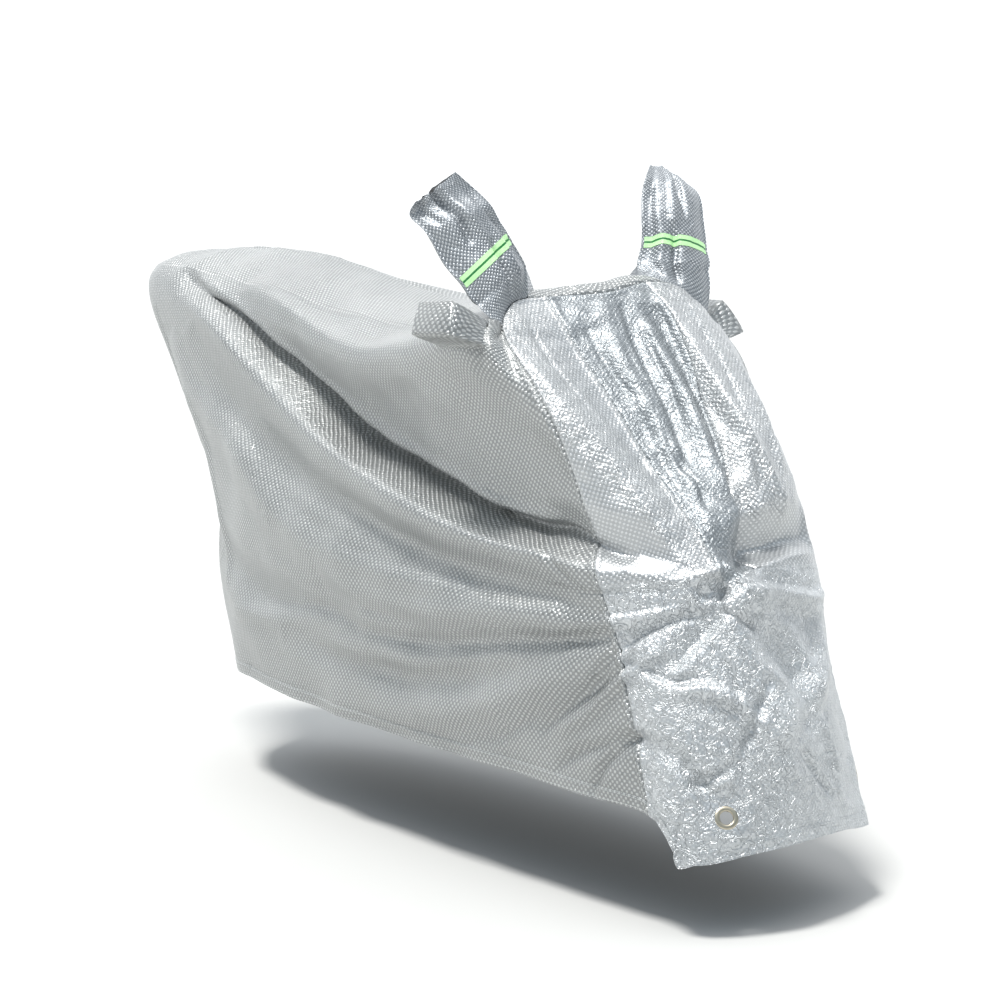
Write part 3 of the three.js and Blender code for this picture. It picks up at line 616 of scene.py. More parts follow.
class NodeTree:
    """A short way to add nodes to a material or world and to join them."""

    def __init__(self, tree: bpy.types.NodeTree) -> None:
        """Starts from an empty tree."""
        self.tree = tree
        tree.nodes.clear()

    def add(self, kind: str, inputs: dict | None = None, **settings: object) -> bpy.types.Node:
        """Adds a node.

        Args:
            kind: The node's type name without the Shader prefix.
            inputs: Values or output sockets by input name or index.
            settings: The node's own properties.

        Returns:
            The new node.
        """
        node = self.tree.nodes.new(kind)
        for name, value in settings.items():
            setattr(node, name, value)
        for name, value in (inputs or {}).items():
            if isinstance(value, bpy.types.NodeSocket):
                self.tree.links.new(value, node.inputs[name])
            else:
                node.inputs[name].default_value = value
        return node

    def math(self, operation: str, *values: object) -> bpy.types.NodeSocket:
        """Adds a Math node and returns its output."""
        return self.add("ShaderNodeMath", dict(enumerate(values)), operation=operation).outputs[0]

    def mix(self, share: object, low: object, high: object) -> bpy.types.NodeSocket:
        """Adds a colour mix and returns its output."""
        return self.add("ShaderNodeMix", {0: share, 6: low, 7: high}, data_type="RGBA").outputs[2]

    def eased(self, value: object, low: float, high: float, top: float = 1.0) -> bpy.types.NodeSocket:
        """Eases a value from 0 at low to top at high and returns the output."""
        return self.add("ShaderNodeMapRange", {0: value, 1: low, 2: high, 3: 0.0, 4: top},
                        interpolation_type="SMOOTHSTEP").outputs[0]


def new_material(name: str) -> tuple[bpy.types.Material, NodeTree]:
    """Makes a material with an empty node tree.

    Args:
        name: The material's name.

    Returns:
        The material, and the short way to its nodes.
    """
    material = bpy.data.materials.new(name)
    material.use_nodes = True
    return material, NodeTree(material.node_tree)


def place_object(name: str, data: bpy.types.ID) -> bpy.types.Object:
    """Puts data into the scene as an object at the origin.

    Args:
        name: The object's name.
        data: The mesh, light or camera.

    Returns:
        The new object.
    """
    made = bpy.data.objects.new(name, data)
    bpy.context.scene.collection.objects.link(made)
    return made


def thicken(piece: bpy.types.Object, thickness: float, two_faced: bool = True) -> None:
    """Gives a cloth its thickness, inward from its outer face.

    Args:
        piece: The cloth's object.
        thickness: The thickness in mm.
        two_faced: True shows the second material on the inner face.
    """
    thick = piece.modifiers.new("thickness", "SOLIDIFY")
    thick.thickness = thickness * MM
    thick.offset = -1.0
    thick.material_offset = 1 if two_faced else 0


@dataclass(frozen=True)
class SilverCloth:
    """Metallised film on thin cloth, embossed with small dots in staggered rows; the dots' lighter colour is
    painted highlight.
    """

    name: str = "silver_cloth"
    bright: tuple[float, float, float] = (0.67, 0.68, 0.675)
    dull: tuple[float, float, float] = (0.24, 0.25, 0.25)
    dot_spacing: float = 0.0115
    dot_relief: float = 0.0012
    crinkle_relief: float = 0.0012
    crinkle_scale: float = 42.0
    crinkle_width: float = 0.30
    # Share of the base colour that is lighter on the dots, as painted highlight of the embossing
    dot_contrast: float = 0.66
    unevenness: float = 0.0004
    roughness: float = 0.37
    metallic: float = 0.65
    smooth_behind_edge: bool = False
    edge_at: tuple[float, float] = (0.983, -0.099)
    edge_faces: tuple[float, float] = (0.697, 0.717)

    def _before_edge(self, n: NodeTree) -> bpy.types.NodeSocket:
        """Tells the sides of the shoulder's sharp edge apart, which lies near one slanting plane.

        Args:
            n: The material's nodes.

        Returns:
            A socket that is 0 behind the edge and 1 before it.
        """
        place = n.add("ShaderNodeTexCoord").outputs["Object"]
        axes = n.add("ShaderNodeSeparateXYZ", {0: place})
        forward = n.math("MULTIPLY", n.math("SUBTRACT", axes.outputs[0], self.edge_at[0]), self.edge_faces[0])
        upward = n.math("MULTIPLY", n.math("SUBTRACT", axes.outputs[2], self.edge_at[1]), self.edge_faces[1])
        return n.eased(n.math("ADD", forward, upward), -0.012, 0.02)

    def build(self) -> bpy.types.Material:
        """Builds the material on the piece's own flat coordinates.

        Returns:
            The material.
        """
        material, n = new_material(self.name)
        flat = n.add("ShaderNodeUVMap", uv_map="flat").outputs["UV"]
        drift = n.add("ShaderNodeTexNoise", {"Vector": flat, "Scale": 60.0, "Detail": 2.0}).outputs["Color"]
        shift = n.add("ShaderNodeVectorMath", {0: drift, 1: (0.5, 0.5, 0.5)}, operation="SUBTRACT")
        small = n.add("ShaderNodeVectorMath", {0: shift.outputs[0], "Scale": 4 * self.unevenness},
                      operation="SCALE")
        moved = n.add("ShaderNodeVectorMath", {0: flat, 1: small.outputs[0]}, operation="ADD")
        axes = n.add("ShaderNodeSeparateXYZ", {0: moved.outputs[0]})
        turns = 2 * math.pi / self.dot_spacing
        across = n.math("COSINE", n.math("MULTIPLY", axes.outputs[0], turns))
        along = n.math("COSINE", n.math("MULTIPLY", axes.outputs[1], turns))
        dots = n.eased(n.math("MULTIPLY", across, along), -0.15, 0.75)
        foil = n.add("ShaderNodeTexNoise", {"Vector": flat, "Scale": self.crinkle_scale, "Detail": 3.0,
                                            "Roughness": 0.5, "Distortion": 1.2})
        bent = n.math("ABSOLUTE", n.math("SUBTRACT", foil.outputs[0], 0.5))
        ridges = n.eased(bent, 0.0, self.crinkle_width, top=0.5)
        if self.smooth_behind_edge:
            ridges = n.math("MULTIPLY", ridges, self._before_edge(n))
        cloudy = n.add("ShaderNodeTexNoise", {"Vector": flat, "Scale": 3.2, "Detail": 3.0}).outputs[0]
        relief = n.add("ShaderNodeBump", {"Strength": 0.9, "Distance": self.crinkle_relief,
                                          "Height": n.math("MULTIPLY", ridges, 2.0)})
        emboss = n.add("ShaderNodeBump", {"Strength": 0.9, "Distance": self.dot_relief, "Height": dots,
                                          "Normal": relief.outputs[0]})
        # Base colour: lighter on the dots as painted highlight, mixed with random cloudy tone
        highlight_and_tone = n.math("ADD", n.math("MULTIPLY", dots, self.dot_contrast),
                      n.math("MULTIPLY", cloudy, 1 - self.dot_contrast))
        colour = n.mix(highlight_and_tone, (*self.dull, 1), (*self.bright, 1))
        rough = n.math("ADD", n.math("MULTIPLY", cloudy, 0.16), self.roughness - 0.08)
        shader = n.add("ShaderNodeBsdfPrincipled", {"Base Color": colour, "Roughness": rough,
                                                    "Normal": emboss.outputs[0],
                                                    "Metallic": self.metallic})
        n.add("ShaderNodeOutputMaterial", {0: shader.outputs[0]})
        return material


@dataclass(frozen=True)
class InnerCloth:
    """The cloth's plain woven inner face, near black as painted shade of the cover's hollow inside."""

    name: str = "inner_cloth"
    # Near black: painted shade of the cover's hollow inside, not the cloth's own grey
    colour: tuple[float, float, float] = (0.03, 0.032, 0.034)
    thread: float = 0.0012

    def build(self) -> bpy.types.Material:
        """Builds the woven inner material, near black as painted shade.

        Returns:
            The material.
        """
        material, n = new_material(self.name)
        flat = n.add("ShaderNodeUVMap", uv_map="flat").outputs["UV"]
        axes = n.add("ShaderNodeSeparateXYZ", {0: flat})
        turns = 2 * math.pi / self.thread
        weave = n.math("MULTIPLY", n.math("SINE", n.math("MULTIPLY", axes.outputs[0], turns)),
                       n.math("SINE", n.math("MULTIPLY", axes.outputs[1], turns)))
        bump = n.add("ShaderNodeBump", {"Strength": 0.5, "Distance": 0.0003, "Height": weave})
        cloudy = n.add("ShaderNodeTexNoise", {"Vector": flat, "Scale": 9.0, "Detail": 4.0}).outputs[0]
        dark = tuple(0.8 * c for c in self.colour)
        colour = n.mix(cloudy, (*dark, 1), (*self.colour, 1))
        shader = n.add("ShaderNodeBsdfPrincipled", {"Base Color": colour, "Roughness": 0.75,
                                                    "Normal": bump.outputs[0]})
        n.add("ShaderNodeOutputMaterial", {0: shader.outputs[0]})
        return material


@dataclass(frozen=True)
class LimeRibbon:
    """Pale lime reflective ribbon with a dark green thread along its middle."""

    name: str = "reflective_band"
    lime: tuple[float, float, float] = (0.44, 0.93, 0.34)
    pale: tuple[float, float, float] = (0.72, 0.98, 0.62)
    thread: tuple[float, float, float] = (0.02, 0.20, 0.05)
    thread_share: float = 0.09
    twill_pitch: float = 0.0025
    twill_slant: float = 0.02

    def build(self) -> bpy.types.Material:
        """Builds the ribbon on coordinates that run along it and, from 0 to 1, across it.

        Returns:
            The material.
        """
        material, n = new_material(self.name)
        flat = n.add("ShaderNodeUVMap", uv_map="flat").outputs["UV"]
        axes = n.add("ShaderNodeSeparateXYZ", {0: flat})
        away = n.math("ABSOLUTE", n.math("SUBTRACT", axes.outputs[1], 0.5))
        middle = n.math("LESS_THAN", away, self.thread_share)
        slanted = n.math("ADD", axes.outputs[0], n.math("MULTIPLY", axes.outputs[1], self.twill_slant))
        twill = n.math("SINE", n.math("MULTIPLY", slanted, 2 * math.pi / self.twill_pitch))
        soft = n.add("ShaderNodeMapRange", {0: twill, 1: -1.0, 2: 1.0}).outputs[0]
        ribbon = n.mix(soft, (*self.lime, 1), (*self.pale, 1))
        colour = n.mix(middle, ribbon, (*self.thread, 1))
        height = n.math("SUBTRACT", n.math("MULTIPLY", twill, 0.3), middle)
        bump = n.add("ShaderNodeBump", {"Strength": 0.6, "Distance": 0.0004, "Height": height})
        shader = n.add("ShaderNodeBsdfPrincipled", {"Base Color": colour, "Roughness": 0.42,
                                                    "Normal": bump.outputs[0]})
        n.add("ShaderNodeOutputMaterial", {0: shader.outputs[0]})
        return material


@dataclass(frozen=True)
class PlainFinish:
    """A small piece's finish with fine scratches or fibres in its roughness and bump."""

    name: str
    colour: tuple[float, float, float]
    metallic: float
    roughness: float
    grain: float

    def build(self) -> bpy.types.Material:
        """Builds the material on Object coordinates.

        Returns:
            The material.
        """
        material, n = new_material(self.name)
        place = n.add("ShaderNodeTexCoord").outputs["Object"]
        noise = n.add("ShaderNodeTexNoise", {"Vector": place, "Scale": self.grain, "Detail": 4.0}).outputs[0]
        dark = tuple(0.7 * c for c in self.colour)
        colour = n.mix(noise, (*dark, 1), (*self.colour, 1))
        rough = n.math("ADD", n.math("MULTIPLY", noise, 0.2), self.roughness - 0.1)
        bump = n.add("ShaderNodeBump", {"Strength": 0.2, "Distance": 0.0003, "Height": noise})
        shader = n.add("ShaderNodeBsdfPrincipled", {"Base Color": colour, "Roughness": rough,
                                                    "Metallic": self.metallic, "Normal": bump.outputs[0]})
        n.add("ShaderNodeOutputMaterial", {0: shader.outputs[0]})
        return material


@dataclass(frozen=True)
class Finishes:
    """Every material of the cover. The silver cloths are copies of one film: the apron's and the strips' are
    lighter as painted light, the front panel's and the pockets' darker as painted shade.
    """

    smooth: bpy.types.Material
    crinkled: bpy.types.Material
    front: bpy.types.Material
    strip: bpy.types.Material
    sleeve: bpy.types.Material
    inner: bpy.types.Material
    ribbon: bpy.types.Material
    nickel: bpy.types.Material
    thread: bpy.types.Material

    @classmethod
    def build(cls) -> "Finishes":
        """Builds all of them once.

        Returns:
            The finishes.
        """
        return cls(
            smooth=SilverCloth().build(),
            # The apron's cloth: a lighter copy of the film, painted light
            crinkled=SilverCloth("silver_cloth_crinkled", bright=(0.79, 0.81, 0.82), dull=(0.39, 0.41, 0.425),
                                 dot_spacing=0.0095, dot_relief=0.0003, crinkle_relief=0.0019,
                                 crinkle_scale=58.0, crinkle_width=0.10, dot_contrast=0.25,
                                 roughness=0.38).build(),
            # The front panel's cloth: a darker copy of the film, painted shade
            front=SilverCloth("silver_cloth_front", bright=(0.55, 0.575, 0.59), dull=(0.19, 0.21, 0.225),
                              dot_spacing=0.0095, dot_relief=0.0004, crinkle_relief=0.0012,
                              crinkle_scale=46.0, crinkle_width=0.14, dot_contrast=0.40,
                              roughness=0.41).build(),
            # The strips' cloth: a lighter copy of the film, painted light
            strip=SilverCloth("silver_cloth_strip", bright=(0.81, 0.825, 0.83), dull=(0.37, 0.382, 0.39),
                              dot_spacing=0.0105, dot_relief=0.0006, crinkle_relief=0.0013,
                              crinkle_scale=50.0, crinkle_width=0.12, dot_contrast=0.55,
                              roughness=0.38, smooth_behind_edge=True).build(),
            # The pockets' cloth: darker between the dots, painted shade
            sleeve=SilverCloth("silver_cloth_sleeve", bright=(0.68, 0.70, 0.72), dull=(0.17, 0.19, 0.21),
                               dot_spacing=0.0080, dot_relief=0.0008, crinkle_relief=0.0012,
                               roughness=0.42).build(),
            inner=InnerCloth().build(),
            ribbon=LimeRibbon().build(),
            nickel=PlainFinish("nickel", (0.66, 0.60, 0.47), 1.0, 0.34, 900.0).build(),
            thread=PlainFinish("sewing_thread", (0.72, 0.74, 0.74), 0.1, 0.6, 1500.0).build(),
        )


def spread(*spans: tuple[float, float, int]) -> Grid:
    """Even steps from break to break, each span given as (from, to, steps)."""
    parts = [np.linspace(start, stop, steps, endpoint=False) for start, stop, steps in spans]
    return np.concatenate([*parts, [spans[-1][1]]])


def to_frame(points: Grid) -> Grid:
    """Turns mm above the ground into metres from the part's origin."""
    return (points - CARRIED_AT) * MM


def mesh_from_grid(name: str, points: Grid, keep: Grid, flat: Grid) -> bpy.types.Object:
    """Makes a mesh from a grid of points.

    Args:
        name: The object's name.
        points: The points in metres, by column and row.
        keep: Which cells are cloth.
        flat: The points' places on the flat cloth, in metres.

    Returns:
        The object, with a UV map named flat.
    """
    columns, rows = points.shape[:2]
    number = np.arange(columns * rows).reshape(columns, rows)
    cells = np.stack([number[:-1, :-1], number[1:, :-1], number[1:, 1:], number[:-1, 1:]], axis=-1)[keep]
    used = np.unique(cells)
    renumber = np.full(columns * rows, -1)
    renumber[used] = np.arange(len(used))
    mesh = bpy.data.meshes.new(name)
    mesh.from_pydata(points.reshape(-1, 3)[used].tolist(), [], renumber[cells].tolist())
    layer = mesh.uv_layers.new(name="flat")
    layer.data.foreach_set("uv", flat.reshape(-1, 2)[cells.reshape(-1)].reshape(-1))
    mesh.polygons.foreach_set("use_smooth", [True] * len(mesh.polygons))
    edges = np.zeros(len(mesh.loops), int)
    mesh.loops.foreach_get("edge_index", edges)
    border = np.bincount(edges, minlength=len(mesh.edges)) == 1
    mesh.attributes.new("sharp_edge", "BOOLEAN", "EDGE").data.foreach_set("value", border)
    return place_object(name, mesh)


def run_along(points: Grid, axis: int) -> Grid:
    """How far each point of a grid lies from its first edge, measured along the cloth.

    Args:
        points: The points, by column and row.
        axis: 0 to run from column to column, 1 from row to row.

    Returns:
        The distances, in the unit of the points.
    """
    total = np.cumsum(np.linalg.norm(np.diff(points, axis=axis), axis=-1), axis=axis)
    return np.pad(total, [(1, 0), (0, 0)] if axis == 0 else [(0, 0), (1, 0)])


def grid_area(points: Grid, keep: Grid) -> float:
    """Measures the area of a grid's kept cells.

    Args:
        points: The points, by column and row.
        keep: Which cells are cloth.

    Returns:
        The area, in the square of the points' unit.
    """
    first = np.cross(points[1:, :-1] - points[:-1, :-1], points[1:, 1:] - points[:-1, :-1])
    second = np.cross(points[1:, 1:] - points[:-1, :-1], points[:-1, 1:] - points[:-1, :-1])
    each = 0.5 * (np.linalg.norm(first, axis=-1) + np.linalg.norm(second, axis=-1))
    return float(each[keep].sum())


def flat_size(flat: Grid, keep: Grid) -> tuple[float, float, float]:
    """Measures a flat shape as it was cut.

    Args:
        flat: The points' places on the flat cloth, in metres.
        keep: Which cells are cloth.

    Returns:
        The width and length of the box round the kept cells, and their flat area.
    """
    grown = np.pad(keep, 1)
    on_cloth = grown[:-1, :-1] | grown[1:, :-1] | grown[:-1, 1:] | grown[1:, 1:]
    width, length = np.ptp(flat[on_cloth], axis=0)
    area = grid_area(np.pad(flat, [(0, 0), (0, 0), (0, 1)]), keep)
    return float(width), float(length), area


def flatten(points: Grid, keep: Grid, stride: int = 3) -> Grid:
    """Lays a grid of cloth flat, as it was cut.

    Args:
        points: The hanging points in metres, by column and row.
        keep: Which cells are cloth.
        stride: Every how many lines the cloth is laid flat; the rest is filled in between.

    Returns:
        The flat places of all the points, in metres.
    """
    columns, rows = points.shape[:2]
    cols = np.unique([*range(0, columns, stride), columns - 1])
    lines = np.unique([*range(0, rows, stride), rows - 1])
    some = points[np.ix_(cols, lines)]
    middle = [(c[:-1] + c[1:]) // 2 for c in (cols, lines)]
    cells = keep[np.ix_(*middle)]
    empty = np.zeros((len(cols), len(lines), 2))
    piece = mesh_from_grid("laid_flat", some, np.ones_like(cells), empty)
    bpy.context.view_layer.objects.active = piece
    bpy.ops.object.mode_set(mode="EDIT")
    bpy.ops.mesh.select_all(action="SELECT")
    bpy.ops.uv.unwrap(method="MINIMUM_STRETCH", margin=0.0, iterations=12)
    bpy.ops.object.mode_set(mode="OBJECT")
    loops = len(piece.data.loops)
    uv, vertex = np.zeros(loops * 2), np.zeros(loops, int)
    piece.data.uv_layers["flat"].data.foreach_get("uv", uv)
    piece.data.loops.foreach_get("vertex_index", vertex)
    placed = np.zeros((len(cols) * len(lines), 2))
    placed[vertex] = uv.reshape(-1, 2)
    placed = placed.reshape(len(cols), len(lines), 2)
    bpy.data.objects.remove(piece)
    placed *= math.sqrt(grid_area(some, cells) / flat_size(placed, cells)[2])
    run = (placed[-1] - placed[0]).mean(axis=0)
    run /= np.linalg.norm(run)
    turned = np.stack([placed @ run, placed @ np.array([-run[1], run[0]])], axis=-1)
    by_column = np.stack([[np.interp(np.arange(rows), lines, turned[i, :, k]) for i in range(len(cols))]
                          for k in range(2)])
    full = np.stack([[np.interp(np.arange(columns), cols, by_column[k][:, j]) for j in range(rows)]
                     for k in range(2)])
    out = np.moveaxis(full, 0, -1).swapaxes(0, 1)
    return out - out.reshape(-1, 2).min(axis=0)


def normals_of(points: Grid) -> Grid:
    """Works out the outward unit normals of a grid.

    Args:
        points: The points, with columns that run anticlockwise seen from above.

    Returns:
        The normals.
    """
    along, up = np.gradient(points, axis=0), np.gradient(points, axis=1)
    normal = np.cross(along, up)
    return normal / (np.linalg.norm(normal, axis=-1, keepdims=True) + 1e-12)


@dataclass
class ClothPanel:
    """One cut panel of the cover, between seams."""

    name: str
    columns: list[tuple[Side, float]]
    levels: Grid
    crinkles: Crinkles
    material: bpy.types.Material
    back: bpy.types.Material
    replaces: tuple[str, ...]
    window: bool = False
    eyelets: bool = False
    hem: bool = False
    thickness: float = 1.0
    seam_levels: tuple[float, ...] = ()
    seam_stations: tuple[float, ...] = ()
    points: Grid = field(init=False)
    flat: Grid = field(init=False)
    keep: Grid = field(init=False)

    def shape(self) -> None:
        """Works out the panel's points, its flat form and its openings."""
        us = np.array([u for _, u in self.columns])
        sides = np.array([side.value for side, _ in self.columns])
        u, v = np.meshgrid(us, self.levels, indexing="ij")
        points = np.zeros((*u.shape, 3))
        for side in Side:
            rows = sides == side.value
            if rows.any():
                points[rows] = FORM.cloth(side, u[rows], v[rows])
        mid_u, mid_v = (u[:-1, :-1] + u[1:, 1:]) / 2, (v[:-1, :-1] + v[1:, 1:]) / 2
        self.keep = np.ones(mid_u.shape, bool)
        if self.window:
            self.keep &= ~((mid_u < WINDOW_U) & (mid_v < WINDOW_V))
        self.flat = flatten(to_frame(points), self.keep)
        edge = self._seam_share(u, v, points)
        normal = normals_of(points)
        lift = self.crinkles.offset(self.flat / MM) * edge
        if self.hem:
            lift = lift + self._hem_lift(points)
        lift = lift + self._seam_lift(u, v, points)
        points = points + lift[..., None] * normal
        if self.eyelets:
            for side in Side:
                self._seat_eyelet(side, points)
        self.points = points

    def _distance(self, values: Grid, line: float, points: Grid, axis: int) -> Grid:
        """Measures along the cloth from a line of equal station or level.

        Args:
            values: The stations or the levels of the points.
            line: The line's station or level.
            points: The points in mm.
            axis: 0 to measure from column to column, 1 from row to row.

        Returns:
            The distances in mm.
        """
        along = run_along(points, axis)
        nearest = np.abs(values - line).min()
        on_line = np.abs(values - line) < nearest + 1e-9
        far = np.full(values.shape, 1e6)
        source = np.where(on_line, along, np.nan)
        lines = np.unique(np.nonzero(on_line)[axis])
        for index in lines:
            place = np.take(source, [index], axis=axis)
            far = np.minimum(far, np.abs(along - place))
        return far

    def _seam_lift(self, u: Grid, v: Grid, points: Grid) -> Grid:
        """A shallow groove at each seam but the waist's, with a raised, sewn-down welt beside it.

        Args:
            u: Stations.
            v: Levels.
            points: The points in mm.

        Returns:
            How far each point moves outward, in mm.
        """
        form = SEAM_FORM
        out = np.zeros(u.shape)
        for axis, values, lines in ((0, u, self.seam_stations), (1, v, self.seam_levels)):
            for line in lines:
                if axis == 1 and line == WAIST:
                    continue
                far = self._distance(values, line, points, axis)
                welt = smooth(far / form.welt_start) * smooth((form.welt_end - far) / form.welt_slope)
                groove = smooth(1 - far / form.groove_width)
                out += form.welt_height * welt - form.groove_depth * groove
        return out

    def _seam_share(self, u: Grid, v: Grid, points: Grid) -> Grid:
        """Keeps the crinkles off the sewn edges, so that neighbours still meet.

        Args:
            u: Stations.
            v: Levels.
            points: The points in mm.

        Returns:
            0 on the sewn edges and 1 well inside.
        """
        share = np.ones(u.shape)
        for axis, values, lines in ((0, u, self.seam_stations), (1, v, self.seam_levels)):
            for line in lines:
                far = self._distance(values, line, points, axis)
                share = share * smooth(far / SEAM_FORM.calm_width)
        return share

    @staticmethod
    def _hem_lift(points: Grid) -> Grid:
        """The hem's turned-up double layer, with a step where it is sewn.

        Args:
            points: The points in mm.

        Returns:
            How far each point moves outward, in mm.
        """
        form, up = HEM_FORM, run_along(points, axis=1)
        layer = smooth((form.height - up) / form.lift_slope)
        groove = smooth(1 - np.abs(up - form.height) / form.groove_width)
        return form.lift * layer - form.groove_depth * groove

    def _seat_eyelet(self, side: Side, points: Grid) -> None:
        """Flattens the cloth round an eyelet and cuts its hole, which the flanges cover.

        Args:
            side: The eyelet's side.
            points: The points in mm, which are moved.
        """
        centre, out = FORM.at(side, *EYELETS_AT[side])
        away = points - centre
        height = away @ out
        radius = np.linalg.norm(away - height[..., None] * out, axis=-1)
        near = smooth((Eyelet.blend_radius - radius) / (Eyelet.blend_radius - Eyelet.flat_radius))
        near = near * (np.abs(height) < Eyelet.blend_radius)
        points -= (near * height)[..., None] * out
        middle = (points[:-1, :-1] + points[1:, 1:]) / 2 - centre
        self.keep &= np.linalg.norm(middle, axis=-1) > Eyelet.hole_in_cloth

    def build(self) -> bpy.types.Object:
        """Returns:
            The object.
        """
        self.shape()
        piece = mesh_from_grid(self.name, to_frame(self.points), self.keep, self.flat)
        piece.data.materials.append(self.material)
        piece.data.materials.append(self.back)
        thicken(piece, self.thickness)
        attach(piece, "root")
        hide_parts(*self.replaces)
        return piece


@dataclass
class MirrorPocket:
    """A closed sleeve sewn from a front and a back piece along its two edges, sizes in mm."""

    side: Side
    rows: Rows
    finishes: Finishes
    steps: int = 34
    rows_between: int = 12
    flange: float = 6.0
    flat_edge: float = 1.6
    swell_power: float = 0.85
    base_margin: float = 0.02
    base_inset: float = 0.005
    thickness: float = 0.3
    tip_reach: float = 75.0
    edge_fade: float = 18.0
    base_fade: float = 25.0
    tip_fade: float = 30.0
    back_share: float = 0.6
    shape: Grid = field(init=False)

    def rings(self) -> Grid:
        """Works out the control rings from the base to the tip.

        Returns:
            The points in mm, by ring and by place around it.
        """
        t = np.linspace(0, 1, self.steps)
        around = [(1, share) for share in t] + [(-1, share) for share in t[::-1]]
        rings = [self._base_ring(around)]
        centres = np.array([[(r[0] + r[3]) / 2, self.side.value * (r[1] + r[4]) / 2, (r[2] + r[5]) / 2]
                            for r in self.rows])
        for index, row in enumerate(self.rows):
            outer = np.array([row[0], self.side.value * row[1], row[2]])
            inner = np.array([row[3], self.side.value * row[4], row[5]])
            axis = centres[min(index + 1, len(self.rows) - 1)] - centres[max(index - 1, 0)]
            front = self.side.value * np.cross(axis, inner - outer)
            front /= np.linalg.norm(front)
            width = np.linalg.norm(inner - outer)
            ring = []
            for wall, share in around:
                along = (share * (width + 2 * self.flange) - self.flange) / width
                inside = min(max(along, 0.0), 1.0)
                swell = row[6] * (4 * inside * (1 - inside)) ** self.swell_power
                ring.append(outer + (inner - outer) * along + front * wall * (swell + self.flat_edge))
            rings.append(np.array(ring))
        return np.array(rings)

    def _base_ring(self, around: list[tuple[int, float]]) -> Grid:
        """The ring that is sewn to the cover, round the yoke's window.

        Args:
            around: The wall, 1 for the front and -1 for the back, and the share across it.

        Returns:
            The ring's points in mm.
        """
        margin, inset = self.base_margin, self.base_inset
        u = np.array([SIDE_SEAM + (WINDOW_U - SIDE_SEAM) * (margin + (1 - 2 * margin) * share)
                      for _, share in around])
        v = np.array([EDGE + inset if wall > 0 else WINDOW_V - inset for wall, _ in around])
        return FORM.cloth(self.side, u, v, fine=False)

    def _sleeve(self) -> Grid:
        """Runs the walls through the rings: their middle on a curve, their distance in straight steps.

        Returns:
            The points in mm, by place around the sleeve and by row up it.
        """
        rings = self.rings()
        middle, apart = (rings + rings[:, ::-1]) / 2, (rings - rings[:, ::-1]) / 2
        padded = np.concatenate([2 * middle[:1] - middle[1:2], middle, middle[-1:]])
        shares = np.arange(self.rows_between) / self.rows_between
        weights = curve_weights(shares)
        parts = [np.einsum("ka,amc->kmc", weights, padded[i:i + 4])
                 + (1 - shares)[:, None, None] * apart[i] + shares[:, None, None] * apart[i + 1]
                 for i in range(len(rings) - 1)]
        grid = np.swapaxes(np.concatenate([*parts, rings[-1:]]), 0, 1)
        return np.concatenate([grid, grid[:1]])

    def build(self) -> bpy.types.Object:
        """Returns:
            The object.
        """
        grid = self._sleeve()
        around, along = run_along(grid, axis=0), run_along(grid, axis=1)
        flat = np.stack([np.repeat(around.mean(axis=1)[:, None], grid.shape[1], axis=1),
                         np.repeat(along.mean(axis=0)[None, :], grid.shape[0], axis=0)], axis=-1)
        normal = normals_of(grid) * (1 if self.side is Side.RIGHT else -1)
        lift = self._creases(flat, along)
        shape = grid + lift[..., None] * normal
        shape[-1] = shape[0]
        if self.side is Side.LEFT:
            shape, flat = shape[::-1], flat[::-1]
        keep = np.ones((grid.shape[0] - 1, grid.shape[1] - 1), bool)
        name = f"pocket_{self.side.name.lower()}"
        piece = mesh_from_grid(name, to_frame(shape), keep, flat * MM)
        self._close_tip(piece)
        piece.data.materials.append(self.finishes.sleeve)
        piece.data.materials.append(self.finishes.inner)
        thicken(piece, self.thickness)
        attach(piece, "root")
        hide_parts(f"mirror_pocket_{self.side.name.lower()}")
        self.shape = shape if self.side is Side.RIGHT else shape[::-1]
        return piece

    def _creases(self, flat: Grid, along: Grid) -> Grid:
        """Long folds down the sleeve and crinkles on it, fading at the sewn edges and the ends.

        Args:
            flat: The points' places on the flat cloth, in mm.
            along: The points' distances from the base, in mm.

        Returns:
            How far each point moves outward, in mm.
        """
        half = flat[..., 0].max() / 2
        across = np.where(flat[..., 0] < half, flat[..., 0], 2 * half - flat[..., 0])
        length, rise = along.max(), flat[..., 1]
        shown = np.where(flat[..., 0] < half, 1.0, self.back_share)
        edge = smooth(across / self.edge_fade) * smooth((half - across) / self.edge_fade)
        end = smooth(rise / self.base_fade) * smooth((length - rise) / self.tip_fade)
        folds = (
            Fold("long crease", -15, 9, 12, ((0.36 * half, 0.45 * length), (0.42 * half, 0.65 * length),
                                            (0.34 * half, 0.88 * length))),
            Fold("long ridge", 6, 12, 12, ((0.56 * half, 0.35 * length), (0.55 * half, 0.6 * length),
                                           (0.52 * half, 0.9 * length))),
            Fold("low crease", -13, 8, 12, ((0.55 * half, 0.04 * length), (0.5 * half, 0.2 * length),
                                           (0.58 * half, 0.42 * length))),
            Fold("low ridge", 6, 10, 12, ((0.72 * half, 0.05 * length), (0.68 * half, 0.22 * length),
                                          (0.74 * half, 0.5 * length))),
            Fold("edge dip", -6, 10, 10, ((0.82 * half, 0.2 * length), (0.84 * half, 0.5 * length),
                                          (0.78 * half, 0.8 * length))),
            Fold("tip dip", -7, 12, 12, ((0.2 * half, 0.6 * length), (0.16 * half, 0.75 * length),
                                         (0.3 * half, 0.95 * length))),
        )
        out = sum(fold_offset(fold, across, rise) for fold in folds)
        draw = Crinkles(seed=31 if self.side is Side.RIGHT else 47, per_square_metre=2600,
                        length=(18, 45), width=(4, 8), height=(0.5, 1.6), swell=0.8, swell_length=60)
        return (out + draw.offset(flat)) * edge * end * shown

